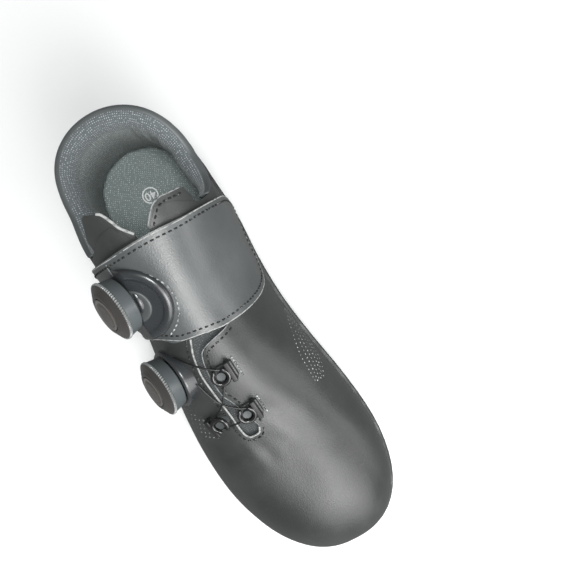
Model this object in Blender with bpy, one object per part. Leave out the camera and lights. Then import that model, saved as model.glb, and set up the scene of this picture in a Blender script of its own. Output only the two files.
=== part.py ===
# Road cycling shoe, right foot, with an instep strap and two lace dials.
# Metres, +Z up, +X to the toe, +Y to the inner (medial) side of the foot.
# The origin is the centre of the heel pad's face on the ground.
import math

import bmesh
import bpy
import numpy as np
from mathutils import Matrix, Vector

# the last that the whole shoe is worked out from
LAST_LENGTH = 0.268
BALL_WIDTH = 0.096
HEEL_STACK = 0.024        # feather line above the ground at the heel
BALL_STACK = 0.0123       # and at the ball
TOE_STACK = 0.022         # and at the tip of the toe
INSTEP_RISE = 0.100       # instep above its feather line
BOX_RISE = 0.046          # toe box above its feather line
COLLAR_BACK = 0.083       # top edge of the wall at the back of the heel
COLLAR_SIDE = 0.071       # and at its lowest, below the ankle
COLLAR_FLARE = 0.0032     # how far the collar leans out of the last
FLARE_DEPTH = 0.034       # height over which it does

# walls and layers
WALL = 0.002
GAP = 0.0003
COUNTER_WALL = 0.0012
STRAP_WALL = 0.0024
TONGUE_WALL = 0.002
PAD_THICKNESS = 0.0085    # padded collar roll, inside the wall
PAD_PROUD = 0.0017        # and outside it
PAD_LIFT = 0.0046         # and above it
PAD_DEPTH = 0.032         # how far the lining reaches down
INSOLE_THICKNESS = 0.004
INSOLE_RIM = 0.002        # raised edge of the insole

# outsole and its treads
SOLE_EDGE = 0.0016        # sole's side stands out of the upper by this
SOLE_STEP = 0.0024        # height of the upper step of its side
PLATE_BALL = 0.0055       # plate thickness under the ball
PLATE_HEEL = 0.0095       # and under the heel
HEEL_PAD_LENGTH = 0.046
HEEL_PAD_WIDTH = 0.050
LUG_TAPER = 0.0015
CLEAT_STATION = 0.685     # share of the last's length
CLEAT_SPACING = 0.014     # between the two slots
CLEAT_SLOT_LENGTH = 0.032
CLEAT_SLOT_WIDTH = 0.0065
CLEAT_POCKET_LENGTH = 0.052
CLEAT_POCKET_WIDTH = 0.034
CLEAT_POCKET_DEPTH = 0.0009
CLEAT_SLOT_DEPTH = 0.0022

# lace dials
DIAL_RADIUS = 0.0157
KNOB_HEIGHT = 0.0095
UPPER_LIFT = 0.0058       # underside of the upper knob above its seat
LOWER_LIFT = 0.0040
DISH_RADIUS = 0.0140      # upper dial's base, hidden by its knob
DISH_FLOOR = 0.0036       # width of a base's raised edge
DISH_RIM = 0.0024
SADDLE_RADIUS = 0.0195    # stepped round moulding on the strap beside the upper dial
SADDLE_BAND = 0.0050      # its outer band
SADDLE_CAP = 0.0089       # and its middle
SADDLE_RISE = 0.0013
SADDLE_CUT = 0.0028       # flat face behind the knob, below the knob's underside
BADGE_RADIUS = 0.0086
BADGE_DEPTH = 0.0008
KNURLS = 30
WIRE_RADIUS = 0.0005

# wire guides
TAB_LENGTH = 0.0095
TAB_WIDTH = 0.0085
TAB_HEIGHT = 0.0016
SPOOL_RADIUS = 0.0022
RING_RADIUS = 0.0038
RING_TUBE = 0.0011

# station: share of the length from the heel. breadth, swing: shares of the ball width.
# heel, toe: shares of the heel and toe stacks over the ball's. instep, box: shares of the
# two rises. side, rise: how full the section is across and upwards.
COLUMNS = ("station", "breadth", "swing", "heel", "toe", "instep", "box", "side", "rise")
LAST = (
    (0.00, 0.69, 0.010, 1.00, 0.00, 1.150, 0.00, 0.70, 1.00),
    (0.13, 0.71, 0.012, 0.92, 0.00, 1.110, 0.00, 0.70, 1.00),
    (0.25, 0.76, 0.016, 0.80, 0.00, 0.970, 0.00, 0.80, 1.00),
    (0.36, 0.75, 0.013, 0.62, 0.00, 0.850, 0.00, 0.98, 1.00),
    (0.46, 0.80, 0.002, 0.42, 0.00, 0.755, 0.00, 1.00, 0.98),
    (0.57, 0.874, 0.013, 0.15, 0.00, 0.400, 0.59, 0.92, 0.92),
    (0.67, 0.95, 0.031, 0.00, 0.00, 0.150, 0.88, 0.86, 0.88),
    (0.77, 0.970, 0.060, 0.00, 0.03, 0.000, 1.01, 0.82, 0.86),
    (0.87, 0.910, 0.096, 0.00, 0.28, 0.000, 0.80, 0.80, 0.86),
    (1.00, 0.86, 0.137, 0.00, 1.00, 0.000, 0.52, 0.80, 0.86),
)
# station and the share of the way up from the side's height to the back's
TOPLINE = ((-0.10, 1.0), (0.00, 1.0), (0.05, 0.80), (0.10, 0.30), (0.15, 0.0), (0.20, 0.0),
           (0.60, 0.0))
HEEL_ROUND = 0.125
TOE_ROUND = 0.80
TOE_POWER = 2.3
CROWN_START = 0.13
CROWN_END = 0.855
CROWN_BLEND = 0.082
RIBS = 40
LEVELS = 11


def column(name, station):
    """Smooth curve through one column of the last's table."""
    at = COLUMNS.index(name)
    return smoothTable([(row[0], row[at]) for row in LAST], station)


def smoothTable(rows, station):
    xs = np.array([row[0] for row in rows])
    ys = np.array([row[1] for row in rows])
    slope = np.gradient(ys, xs)
    station = np.clip(np.asarray(station, float), xs[0], xs[-1])
    i = np.clip(np.searchsorted(xs, station) - 1, 0, len(xs) - 2)
    h = xs[i + 1] - xs[i]
    t = (station - xs[i]) / h
    return ((1 + 2 * t) * (1 - t) ** 2 * ys[i] + t * (1 - t) ** 2 * h * slope[i]
            + t * t * (3 - 2 * t) * ys[i + 1] + t * t * (t - 1) * h * slope[i + 1])


def feather(station):
    """Height of the line where the upper meets the sole."""
    return (BALL_STACK + (HEEL_STACK - BALL_STACK) * column("heel", station)
            + (TOE_STACK - BALL_STACK) * column("toe", station))


def crown(station):
    """Height of the ridge of the last."""
    return (feather(station) + INSTEP_RISE * column("instep", station)
            + BOX_RISE * column("box", station))


def topline(station):
    share = smoothTable(TOPLINE, station)
    return COLLAR_SIDE + (COLLAR_BACK - COLLAR_SIDE) * share


def halfBreadth(station):
    half = column("breadth", station) * BALL_WIDTH / 2
    back = np.clip((HEEL_ROUND - station) / HEEL_ROUND, 0, 1)
    front = np.clip((station - TOE_ROUND) / (1 - TOE_ROUND), 0, 1)
    return (half * np.sqrt(np.clip(1 - back ** 2.2, 0, 1))
            * np.clip(1 - front ** TOE_POWER, 0, 1) ** (1 / TOE_POWER))


def softMin(a, b, blend):
    h = np.clip(blend - np.abs(a - b), 0, None) / blend
    return np.minimum(a, b) - h * h * blend / 4


def smoothStep(t):
    t = np.clip(t, 0, 1)
    return t * t * (3 - 2 * t)


def last(side, theta, tau):
    """Point of the last: side -1 outer or +1 inner, theta from heel 0 to toe pi,
    tau from the feather line 0 to the ridge 1."""
    station = (1 - np.cos(theta)) / 2
    x0 = LAST_LENGTH * station
    y0 = column("swing", station) * BALL_WIDTH + side * halfBreadth(station)
    blend = CROWN_BLEND * LAST_LENGTH
    start, end = CROWN_START * LAST_LENGTH, CROWN_END * LAST_LENGTH
    x1 = -softMin(-softMin(x0, end, blend), -start, blend)
    s1 = x1 / LAST_LENGTH
    y1 = column("swing", s1) * BALL_WIDTH
    slope = (crown(s1 + 0.01) - crown(s1 - 0.01)) / (0.02 * LAST_LENGTH)
    across = np.cos(np.pi / 2 * tau) ** column("side", s1)
    across = across + 0.05 * np.sin(np.pi * tau) * (1 - tau)
    up = np.sin(np.pi / 2 * tau) ** column("rise", s1)
    x = x1 + (x0 - x1) * across
    y = y1 + (y0 - y1) * across
    low = feather(station)
    z = low + (crown(s1) + slope * (x - x1) - low) * up
    # the collar leans out towards its top edge
    lean = np.clip((z - (topline(x / LAST_LENGTH) - FLARE_DEPTH)) / FLARE_DEPTH, 0, 1.15)
    lean = lean * lean * (3 - 2 * np.clip(lean, 0, 1)) * smoothStep((0.40 - station) / 0.14)
    lean = lean * np.clip((1 - tau) / 0.5, 0, 1)
    reach = np.maximum(np.hypot(x0 - x1, y0 - y1), 1e-6)
    x = x + (x0 - x1) / reach * COLLAR_FLARE * lean
    y = y + (y0 - y1) / reach * COLLAR_FLARE * lean
    return np.stack([x, y, z], -1)


def ribGrid():
    """Ribs round the last, heel, outer side, toe, inner side, each from feather to ridge."""
    theta = np.pi * np.arange(RIBS + 1) / RIBS
    tau = np.arange(LEVELS + 1) / LEVELS
    outer = last(-1, theta[:, None], tau[None, :])
    inner = last(1, theta[:, None], tau[None, :])
    return np.concatenate([outer, inner[-2:0:-1]])


def sheetFaces():
    faces = []
    n = 2 * RIBS
    for k in range(n):
        for j in range(LEVELS):
            a, b = (k, j), ((k + 1) % n, j)
            c, d = ((k + 1) % n, j + 1), (k, j + 1)
            faces += [(a, b, c), (a, c, d)] if k < RIBS else [(a, b, d), (b, c, d)]
    return faces


def offsetField(grid):
    """Vectors that move each point out so that its faces stay parallel."""
    flat = grid.reshape(-1, 3)
    keys = np.round(flat * 1e7).astype(np.int64)
    _, ids = np.unique(keys, axis=0, return_inverse=True)
    ids = ids.ravel()
    width = LEVELS + 1
    tris = np.array([[k * width + j for k, j in face] for face in sheetFaces()])
    a, b, c = (flat[tris[:, i]] for i in range(3))
    normal = np.cross(b - a, c - a)
    area = np.linalg.norm(normal, axis=1)
    keep = area > 1e-12
    tris, normal, area = tris[keep], normal[keep], area[keep]
    unit = normal / area[:, None]
    total = np.zeros((ids.max() + 1, 3))
    for i in range(3):
        np.add.at(total, ids[tris[:, i]], normal)
    total /= np.maximum(np.linalg.norm(total, axis=1, keepdims=True), 1e-12)
    lean = np.zeros(len(total))
    count = np.zeros(len(total))
    for i in range(3):
        np.add.at(lean, ids[tris[:, i]], (unit * total[ids[tris[:, i]]]).sum(1) * area)
        np.add.at(count, ids[tris[:, i]], area)
    lean = np.clip(lean / np.maximum(count, 1e-15), 0.7, 1)
    return (total / lean[:, None])[ids].reshape(grid.shape)


GRID = ribGrid()
OUT = offsetField(GRID)
if OUT[RIBS // 2, 2, 1] > 0:
    OUT = -OUT
# plan directions out of the feather line, rib by rib
PLAN = np.roll(GRID[:, 0, :2], -1, 0) - np.roll(GRID[:, 0, :2], 1, 0)
PLAN = np.stack([-PLAN[:, 1], PLAN[:, 0]], 1)
PLAN /= np.linalg.norm(PLAN, axis=1, keepdims=True)
if PLAN[0, 0] > 0:
    PLAN = -PLAN

# the frame: the centre of the heel pad's ground face
SOLE_BACK = -SOLE_EDGE
PAD_CENTRE = SOLE_BACK + 0.004 + HEEL_PAD_LENGTH / 2
ORIGIN = Vector((PAD_CENTRE, float(column("swing", PAD_CENTRE / LAST_LENGTH)) * BALL_WIDTH, 0))


def finish(name, colour, roughness, metallic=0.0):
    mat = bpy.data.materials.new(name)
    mat.use_nodes = True
    shader = mat.node_tree.nodes["Principled BSDF"]
    shader.inputs["Base Color"].default_value = (*colour, 1)
    shader.inputs["Roughness"].default_value = roughness
    shader.inputs["Metallic"].default_value = metallic
    return mat


def solid(name, points, faces):
    """Welded closed mesh from points and faces that index them."""
    points = np.asarray(points, float).reshape(-1, 3)
    keys = np.round(points * 1e7).astype(np.int64)
    _, first, ids = np.unique(keys, axis=0, return_index=True, return_inverse=True)
    ids = ids.ravel()
    kept = []
    for face in faces:
        ring = []
        for v in face:
            if not ring or ids[v] != ring[-1]:
                ring.append(int(ids[v]))
        if len(ring) > 1 and ring[0] == ring[-1]:
            ring.pop()
        if len(ring) > 2 and len(set(ring)) == len(ring):
            kept.append(ring)
    mesh = bpy.data.meshes.new(name)
    mesh.from_pydata(points[first].tolist(), [], kept)
    bm = bmesh.new()
    bm.from_mesh(mesh)
    loose = [v for v in bm.verts if not v.link_faces]
    bmesh.ops.delete(bm, geom=loose, context="VERTS")
    bmesh.ops.recalc_face_normals(bm, faces=bm.faces)
    bm.to_mesh(mesh)
    bm.free()
    mesh.update()
    obj = bpy.data.objects.new(name, mesh)
    bpy.context.scene.collection.objects.link(obj)
    return obj


def carve(piece, tool, how="DIFFERENCE"):
    """Boolean of a piece with a tool, which is used up."""
    mod = piece.modifiers.new("carve", "BOOLEAN")
    mod.operation = how
    mod.solver = "EXACT"
    mod.object = tool
    graph = bpy.context.evaluated_depsgraph_get()
    done = bpy.data.meshes.new_from_object(piece.evaluated_get(graph))
    piece.modifiers.clear()
    old = piece.data
    piece.data = done
    bpy.data.meshes.remove(old)
    spent = tool.data
    bpy.data.objects.remove(tool)
    bpy.data.meshes.remove(spent)
    return piece


def keepLargest(piece):
    """Leaves only the largest body of a piece."""
    bm = bmesh.new()
    bm.from_mesh(piece.data)
    left = set(bm.verts)
    bodies = []
    while left:
        stack = [left.pop()]
        body = set(stack)
        while stack:
            for edge in stack.pop().link_edges:
                for v in edge.verts:
                    if v in left:
                        left.discard(v)
                        body.add(v)
                        stack.append(v)
        bodies.append(body)
    bodies.sort(key=len, reverse=True)
    spare = [v for body in bodies[1:] for v in body]
    bmesh.ops.delete(bm, geom=spare, context="VERTS")
    bm.to_mesh(piece.data)
    bm.free()
    return piece


def form(name, offset, skirt=0.0):
    """Closed body of the last moved out by an offset, with a skirt below the feather line."""
    shell = GRID + OUT * offset
    n = 2 * RIBS
    width = LEVELS + 1
    points = list(shell.reshape(-1, 3))
    faces = [[k * width + j for k, j in face] for face in sheetFaces()]
    base = [k * width for k in range(n)]
    if skirt:
        low = len(points)
        for k in range(n):
            points.append(shell[k, 0] - np.array([0, 0, skirt]))
        for k in range(n):
            m = (k + 1) % n
            faces += [(low + k, low + m, m * width), (low + k, m * width, k * width)]
        base = [low + k for k in range(n)]
    faces += spanFaces(base)
    return solid(name, points, faces)


def spanFaces(ring):
    """Faces across a closed ring of rib points, strip by strip from heel to toe."""
    n = len(ring)
    faces = []
    for k in range(n // 2):
        a, b, c, d = ring[k], ring[k + 1], ring[(n - k - 1) % n], ring[(n - k) % n]
        faces += [(a, b, c), (a, c, d)]
    return faces


def flank(station, level):
    """Side view point: share of the length, share of the way from feather to ridge."""
    low, high = float(feather(station)), float(crown(station))
    return (station * LAST_LENGTH, low + (high - low) * level)


def sideTool(name, outer, inner, reach=0.14, blend=0.003):
    """Prism across the shoe that has one side view outline on each side of the foot."""
    mid = float(column("swing", 0.35)) * BALL_WIDTH
    rows = ((mid - reach, outer), (mid - blend, outer), (mid + blend, inner), (mid + reach, inner))
    n = len(outer)
    points = [(x, y, z) for y, ring in rows for x, z in ring]
    faces = []
    for r in range(3):
        for i in range(n):
            j = (i + 1) % n
            faces += [(r * n + i, r * n + j, (r + 1) * n + j),
                      (r * n + i, (r + 1) * n + j, (r + 1) * n + i)]
    faces += [tuple(range(n)), tuple(range(3 * n, 4 * n))]
    return solid(name, points, faces)


def planTool(name, outline, low, high):
    """Upright prism from a plan outline in metres."""
    n = len(outline)
    points = [(x, y, z) for z in (low, high) for x, y in outline]
    faces = [(i, (i + 1) % n, n + (i + 1) % n, n + i) for i in range(n)]
    faces += [tuple(range(n)), tuple(range(n, 2 * n))]
    return solid(name, points, faces)


def rounded(corners, radius, steps=4):
    """Outline with its corners rounded."""
    out = []
    n = len(corners)
    for i in range(n):
        p, a, b = (Vector(corners[(i + d) % n]) for d in (0, -1, 1))
        r = min(radius, (a - p).length * 0.45, (b - p).length * 0.45)
        start, end = p + (a - p).normalized() * r, p + (b - p).normalized() * r
        for t in range(steps + 1):
            u = t / steps
            out.append(tuple(start * (1 - u) ** 2 + p * 2 * u * (1 - u) + end * u * u))
    return out


def planPoints(rows):
    """Plan outline from shares of the length and the ball width."""
    return [(s * LAST_LENGTH, y * BALL_WIDTH) for s, y in rows]


def paint(piece, mat, smooth=35):
    piece.data.materials.clear()
    piece.data.materials.append(mat)
    piece.data.shade_smooth()
    piece.data.set_sharp_from_angle(angle=math.radians(smooth))
    return piece


for old in list(bpy.data.objects):
    bpy.data.objects.remove(old)

leather = finish("black leather", (0.03, 0.031, 0.033), 0.42)
meshCloth = finish("mesh lining", (0.055, 0.062, 0.06), 0.9)
webbing = finish("tongue mesh", (0.06, 0.062, 0.064), 0.85)
plate = finish("nylon plate", (0.025, 0.025, 0.027), 0.5)
rubber = finish("rubber tread", (0.022, 0.022, 0.023), 0.75)
plastic = finish("black plastic", (0.028, 0.027, 0.027), 0.35)
cap = finish("dial cap", (0.05, 0.045, 0.042), 0.3)
wire = finish("lace wire", (0.02, 0.02, 0.02), 0.4)


# upper: one wall, open at the collar, along the throat and underneath
def collarHeights(side, stop):
    """Ribs that the collar covers on one side, with the wall's top edge at each."""
    rise = ((0.0, 0.0), (0.62, 0.0), (0.80, 0.20), (0.92, 0.56), (1.0, 1.0))
    rows = []
    for i in range(1, RIBS + 1):
        station = (1 - math.cos(math.pi * i / RIBS)) / 2
        if station > stop:
            break
        k = i if side < 0 else 2 * RIBS - i
        height = float(topline(station)) + CLIMB * float(smoothTable(rise, station / stop))
        rows.append((k, height))
    return rows


def ribPoint(k, height, depth):
    """Point on a rib at a height, moved in from the surface by a depth."""
    rib = GRID[k] - OUT[k] * depth
    return np.array([np.interp(height, rib[:, 2], rib[:, axis]) for axis in (0, 1)] + [height])


CLIMB = 0.024             # rise of the collar's front ends over its side
COLLAR_STOP_OUTER = 0.250
COLLAR_STOP_INNER = 0.250
outerRows = collarHeights(-1, COLLAR_STOP_OUTER)
innerRows = collarHeights(1, COLLAR_STOP_INNER)
# side view rows from the collar's front end to the flap's edge above it: station, level
OUTER_FLAP = ((0.247, 0.76), (0.243, 0.86), (0.236, 0.94), (0.234, 1.10))
INNER_FLAP = ((0.249, 0.78), (0.246, 0.86), (0.240, 0.95), (0.238, 1.10))


def openingOutline(rows, flap, count):
    line = [(-0.1 * LAST_LENGTH, float(topline(0.0)))]
    # a hair in front of each rib, so that the cut doesn't run along its edge
    line += [(float(ribPoint(k, z, 0)[0]) + 0.4 * GAP, z) for k, z in rows]
    while len(line) < count:
        (xa, za), (xb, zb) = line[-2:]
        line.insert(-1, ((xa + xb) / 2, (za + zb) / 2))
    line += [flank(s, level) for s, level in flap]
    top = 1.8 * INSTEP_RISE
    return line + [(line[-1][0], top), (-0.1 * LAST_LENGTH, top)]


count = 1 + max(len(outerRows), len(innerRows))
upper = form("upper", 0)
carve(upper, form("hollow", -WALL, skirt=0.006))
carve(upper, sideTool("opening", openingOutline(outerRows, OUTER_FLAP, count),
                      openingOutline(innerRows, INNER_FLAP, count), blend=0.012))

# throat: notch at the top of the flaps, hidden slot under the strap, slit down the vamp
THROAT_OUTER = ((0.205, -0.150), (0.240, -0.085), (0.262, -0.045), (0.280, -0.025),
                (0.410, -0.060), (0.465, -0.075), (0.492, -0.105), (0.530, -0.130),
                (0.570, -0.128), (0.622, -0.120), (0.660, -0.115))
THROAT_TIP = ((0.676, -0.108), (0.684, -0.085), (0.680, -0.055))
THROAT_INNER = ((0.668, -0.040), (0.635, -0.050), (0.600, -0.068), (0.575, -0.080),
                (0.543, -0.092), (0.512, -0.080), (0.492, -0.040), (0.480, 0.040),
                (0.468, 0.130), (0.445, 0.150), (0.410, 0.080), (0.280, 0.045),
                (0.258, 0.085), (0.240, 0.140), (0.205, 0.190))
throat = planPoints(THROAT_OUTER + THROAT_TIP + THROAT_INNER)
carve(upper, planTool("throat", throat, 0.045, 0.22))
keepLargest(upper)
paint(upper, leather)

# tongue: backs the slit from inside, its top end hidden under the strap
tongue = form("tongue", -(WALL + GAP), skirt=0.004)
carve(tongue, form("inside", -(WALL + GAP + TONGUE_WALL), skirt=0.010))
TONGUE = ((0.315, -0.150), (0.480, -0.190), (0.600, -0.215), (0.690, -0.190), (0.715, -0.090),
          (0.700, 0.030), (0.620, 0.075), (0.500, 0.190), (0.430, 0.215), (0.315, 0.150))
outline = rounded(planPoints(TONGUE), 0.010)
carve(tongue, planTool("tongue outline", outline, 0.045, 0.22), "INTERSECT")
keepLargest(tongue)
paint(tongue, webbing)

# heel counter: a thin overlay round the back of the heel
counter = form("heel_counter", GAP + COUNTER_WALL, skirt=0.004)
carve(counter, form("under", GAP, skirt=0.010))


def counterOutline(reach):
    line = []
    for t in np.linspace(0, 1, 9):
        station = -0.06 + (reach + 0.06) * t
        line.append((station * LAST_LENGTH, float(topline(max(station, 0))) - 0.0022))
    low = float(feather(0.0))
    return line + [(reach * LAST_LENGTH * 1.06, 0.75 * COLLAR_SIDE),
                   (reach * LAST_LENGTH * 1.25, low + 0.35 * (COLLAR_SIDE - low)),
                   (reach * LAST_LENGTH * 1.35, low + 0.0012), (-0.06 * LAST_LENGTH, low + 0.0012)]


carve(counter, sideTool("counter outline", counterOutline(0.150), counterOutline(0.115)),
      "INTERSECT")
keepLargest(counter)
paint(counter, leather)

# strap: an overlay from the inner quarter over the instep to a tab under the upper dial
STRAP_OUTER = ((0.276, 1.30), (0.276, 1.00), (0.268, 0.85), (0.258, 0.66), (0.256, 0.52),
               (0.272, 0.42), (0.315, 0.37), (0.360, 0.39), (0.395, 0.48), (0.415, 0.64),
               (0.426, 0.82), (0.440, 0.93), (0.462, 1.00), (0.470, 1.30))
STRAP_INNER = ((0.276, 1.30), (0.276, 1.00), (0.264, 0.86), (0.252, 0.68), (0.240, 0.50),
               (0.245, 0.32), (0.275, 0.26), (0.340, 0.26), (0.390, 0.30), (0.418, 0.40),
               (0.440, 0.58), (0.458, 0.80), (0.468, 1.00), (0.470, 1.30))
strap = form("strap", GAP + STRAP_WALL, skirt=0.004)
carve(strap, form("under", GAP, skirt=0.010))
carve(strap, sideTool("strap outline", [flank(*row) for row in STRAP_OUTER],
                      [flank(*row) for row in STRAP_INNER]), "INTERSECT")
keepLargest(strap)
paint(strap, leather)

# padded collar: one roll round the opening, proud of the wall's edge, thinning to its ends
# height over the wall's edge as a share of the lift or the depth, then the side it is on
reach = WALL + GAP + 0.0001
edge = 0.0007
SECTION = (
    (-PAD_DEPTH, reach), (-0.66 * PAD_DEPTH, reach), (-0.33 * PAD_DEPTH, reach),
    (-edge, reach), (edge, reach), (edge, -0.45 * PAD_PROUD),
    (edge + 0.22 * PAD_LIFT, -PAD_PROUD), (0.70 * PAD_LIFT, -0.65 * PAD_PROUD),
    (PAD_LIFT, 0.20 * PAD_THICKNESS), (PAD_LIFT, 0.60 * PAD_THICKNESS),
    (0.62 * PAD_LIFT, 1.00 * PAD_THICKNESS), (-0.35 * PAD_LIFT, 1.22 * PAD_THICKNESS),
    (-0.33 * PAD_DEPTH, 1.20 * PAD_THICKNESS), (-0.66 * PAD_DEPTH, 0.90 * PAD_THICKNESS),
    (-PAD_DEPTH, reach + 0.25 * PAD_THICKNESS))


def padRing(k, height, size):
    ring = []
    for lift, depth in SECTION:
        if lift > edge:
            lift = edge + (lift - edge) * size
        if depth > reach:
            depth = reach + (depth - reach) * size
        if depth < 0:
            depth = depth * size
        ring.append(ribPoint(k, height + lift, depth))
    return ring


collarRows = outerRows[::-1] + [(0, float(topline(0.0)))] + innerRows
points, faces = [], []
last_row = len(collarRows) - 1
n = len(SECTION)
for i, (k, height) in enumerate(collarRows):
    size = 0.45 + 0.55 * float(smoothStep(min(i, last_row - i) / 2.6))
    points += padRing(k, height, size)
for i in range(last_row):
    for j in range(n):
        a, b = i * n + j, i * n + (j + 1) % n
        faces += [(a, b, b + n), (a, b + n, a + n)]
faces += [tuple(range(n)), tuple(range(last_row * n, (last_row + 1) * n))]
lining = solid("collar_lining", points, faces)
paint(lining, meshCloth, 60)


# insole: a thin bed with a raised edge, lying on the sole inside the wall
def featherRing(depth, lift):
    ring = []
    for k in range(2 * RIBS):
        rib = GRID[k] - OUT[k] * depth
        base = GRID[k, 0, 2]
        height = max(base + lift, rib[0, 2])
        ring.append([np.interp(height, rib[:, 2], rib[:, 0]),
                     np.interp(height, rib[:, 2], rib[:, 1]), base + lift])
    return ring


inside = WALL + GAP + 0.0002
bedRings = (featherRing(inside + 0.0004, 0.0), featherRing(inside, 0.0016),
            featherRing(inside, INSOLE_THICKNESS + INSOLE_RIM),
            featherRing(inside + 0.0016, INSOLE_THICKNESS + INSOLE_RIM),
            featherRing(inside + 0.0065, INSOLE_THICKNESS))


def ringsSolid(name, rings):
    n = len(rings[0])
    points = [p for ring in rings for p in ring]
    faces = []
    for r in range(len(rings) - 1):
        for k in range(n):
            m = (k + 1) % n
            faces += [(r * n + k, r * n + m, (r + 1) * n + m),
                      (r * n + k, (r + 1) * n + m, (r + 1) * n + k)]
    faces += spanFaces(list(range(n)))
    faces += spanFaces([(len(rings) - 1) * n + k for k in range(n)])
    return solid(name, points, faces)


insole = paint(ringsSolid("insole", bedRings), meshCloth)


# outsole: plate with a stepped side, arch and toe spring
def plateDepth(station):
    """Thickness of the plate: full under the heel, thinner from the waist on."""
    return PLATE_BALL + (PLATE_HEEL - PLATE_BALL) * smoothStep((0.52 - station) / 0.30)


def soleRing(out, share, drop=0.0):
    ring = []
    for k in range(2 * RIBS):
        station = (1 - math.cos(math.pi * k / RIBS)) / 2
        x, y = GRID[k, 0, :2] + PLAN[k] * out
        ring.append((x, y, float(feather(station)) - GAP - share * float(plateDepth(station)) - drop))
    return ring


def soleBody(name, grow=0.0, roof=None):
    step = SOLE_STEP / PLATE_BALL
    rings = [soleRing(SOLE_EDGE + grow, 0.0), soleRing(SOLE_EDGE + 0.0006 + grow, 0.55 * step),
             soleRing(SOLE_EDGE + grow, step), soleRing(SOLE_EDGE - 0.0008 + grow, step + 0.02),
             soleRing(SOLE_EDGE - 0.0016 + grow, 0.80, grow), soleRing(-0.0045 + grow, 1.0, grow)]
    if roof:
        top = soleRing(SOLE_EDGE + 0.004 + grow, 0.0, -roof)
        rings = [top, soleRing(SOLE_EDGE + 0.004 + grow, step + 0.02)] + rings[3:]
    return ringsSolid(name, rings)


outsole = soleBody("outsole")


def soleUnder(station):
    """Height of the plate's underside."""
    return float(feather(station)) - GAP - float(plateDepth(station))


# two bolt slots in a shallow flat pocket under the ball
cleatX = CLEAT_STATION * LAST_LENGTH
cleatY = float(column("swing", CLEAT_STATION)) * BALL_WIDTH
pocketZ = soleUnder(CLEAT_STATION) + CLEAT_POCKET_DEPTH


def boxOutline(x, y, length, width, radius=0.003):
    a, b = length / 2, width / 2
    return rounded([(x - a, y - b), (x + a, y - b), (x + a, y + b), (x - a, y + b)], radius)


carve(outsole, planTool("pocket", boxOutline(cleatX, cleatY, CLEAT_POCKET_LENGTH,
                                             CLEAT_POCKET_WIDTH), -0.01, pocketZ))
for sign in (-1, 1):
    slot = boxOutline(cleatX, cleatY + sign * CLEAT_SPACING / 2, CLEAT_SLOT_LENGTH,
                      CLEAT_SLOT_WIDTH, CLEAT_SLOT_WIDTH / 2.3)
    carve(outsole, planTool("slot", slot, -0.01, pocketZ + CLEAT_SLOT_DEPTH))
paint(outsole, plate)


# treads: heel pad and forefoot lugs, shaped to the plate above them, flat on the ground
def soleEdge(station, side):
    """Edge of the plate's underside in plan."""
    y = float(column("swing", station)) * BALL_WIDTH
    return y + side * (float(halfBreadth(station)) - 0.0035)


def tread(name, outline, ground=0.0, slope=0.0):
    """Lug with a tapered foot, its top seated under the plate."""
    centre = np.mean(outline, axis=0)
    n = len(outline)
    points = []
    for level, share in ((0.0, 1.0), (LUG_TAPER, 0.0), (0.045, 0.0)):
        for x, y in outline:
            away = np.array([x, y]) - centre
            inset = away / np.linalg.norm(away) * LUG_TAPER * share
            z = ground + level + slope * (x - outline[0][0]) * (level < 0.02)
            points.append((x - inset[0], y - inset[1], z))
    faces = [(r * n + i, r * n + (i + 1) % n, (r + 1) * n + (i + 1) % n, (r + 1) * n + i)
             for r in range(2) for i in range(n)]
    faces += [tuple(range(n)), tuple(range(2 * n, 3 * n))]
    piece = solid(name, points, faces)
    carve(piece, soleBody("plate above", grow=GAP, roof=0.12))
    return paint(keepLargest(piece), rubber)


def heelOutline():
    """Heel pad's outline: follows the heel's curve, nearly straight across its front."""
    half = HEEL_PAD_WIDTH / 2
    back, front = ORIGIN.x - HEEL_PAD_LENGTH / 2, ORIGIN.x + HEEL_PAD_LENGTH / 2
    bend = min(half * 0.95, HEEL_PAD_LENGTH * 0.6)
    line = []
    for t in np.linspace(-90, 90, 15):
        angle = math.radians(t)
        line.append((back + bend * (1 - math.cos(angle) ** 0.85), ORIGIN.y + half * math.sin(angle)))
    return line + [(front - 0.003, ORIGIN.y + half * 0.97), (front, ORIGIN.y + half * 0.85),
                   (front, ORIGIN.y - half * 0.85), (front - 0.003, ORIGIN.y - half * 0.97)]


tread("heel_pad", heelOutline())


def lugOutline(start, end, side, inner):
    """Lug between two stations, from the plate's edge to a share of the way in."""
    rows = np.linspace(start, end, 6)
    edgeLine = [(s * LAST_LENGTH, soleEdge(s, side)) for s in rows]
    back = []
    for s in rows[::-1]:
        mid = float(column("swing", s)) * BALL_WIDTH
        back.append((s * LAST_LENGTH, mid + (soleEdge(s, side) - mid) * inner))
    return rounded(edgeLine + back, 0.003, 2)


tread("lug_ball_outer", lugOutline(0.600, 0.770, -1, 0.52))
tread("lug_ball_inner", lugOutline(0.620, 0.790, 1, 0.52))
toeLine = [(s * LAST_LENGTH, soleEdge(s, -1)) for s in (0.820, 0.860, 0.900, 0.935)]
toeLine += [(0.960 * LAST_LENGTH, soleEdge(0.960, -1) * 0.6 + soleEdge(0.960, 1) * 0.4),
            (0.960 * LAST_LENGTH, soleEdge(0.960, -1) * 0.4 + soleEdge(0.960, 1) * 0.6)]
toeLine += [(s * LAST_LENGTH, soleEdge(s, 1)) for s in (0.935, 0.900, 0.860, 0.820)]
toeGround = 0.0012
tread("lug_toe", rounded(toeLine, 0.004, 2), ground=toeGround,
      slope=(TOE_STACK - BALL_STACK) / LAST_LENGTH * 1.6)


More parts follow.
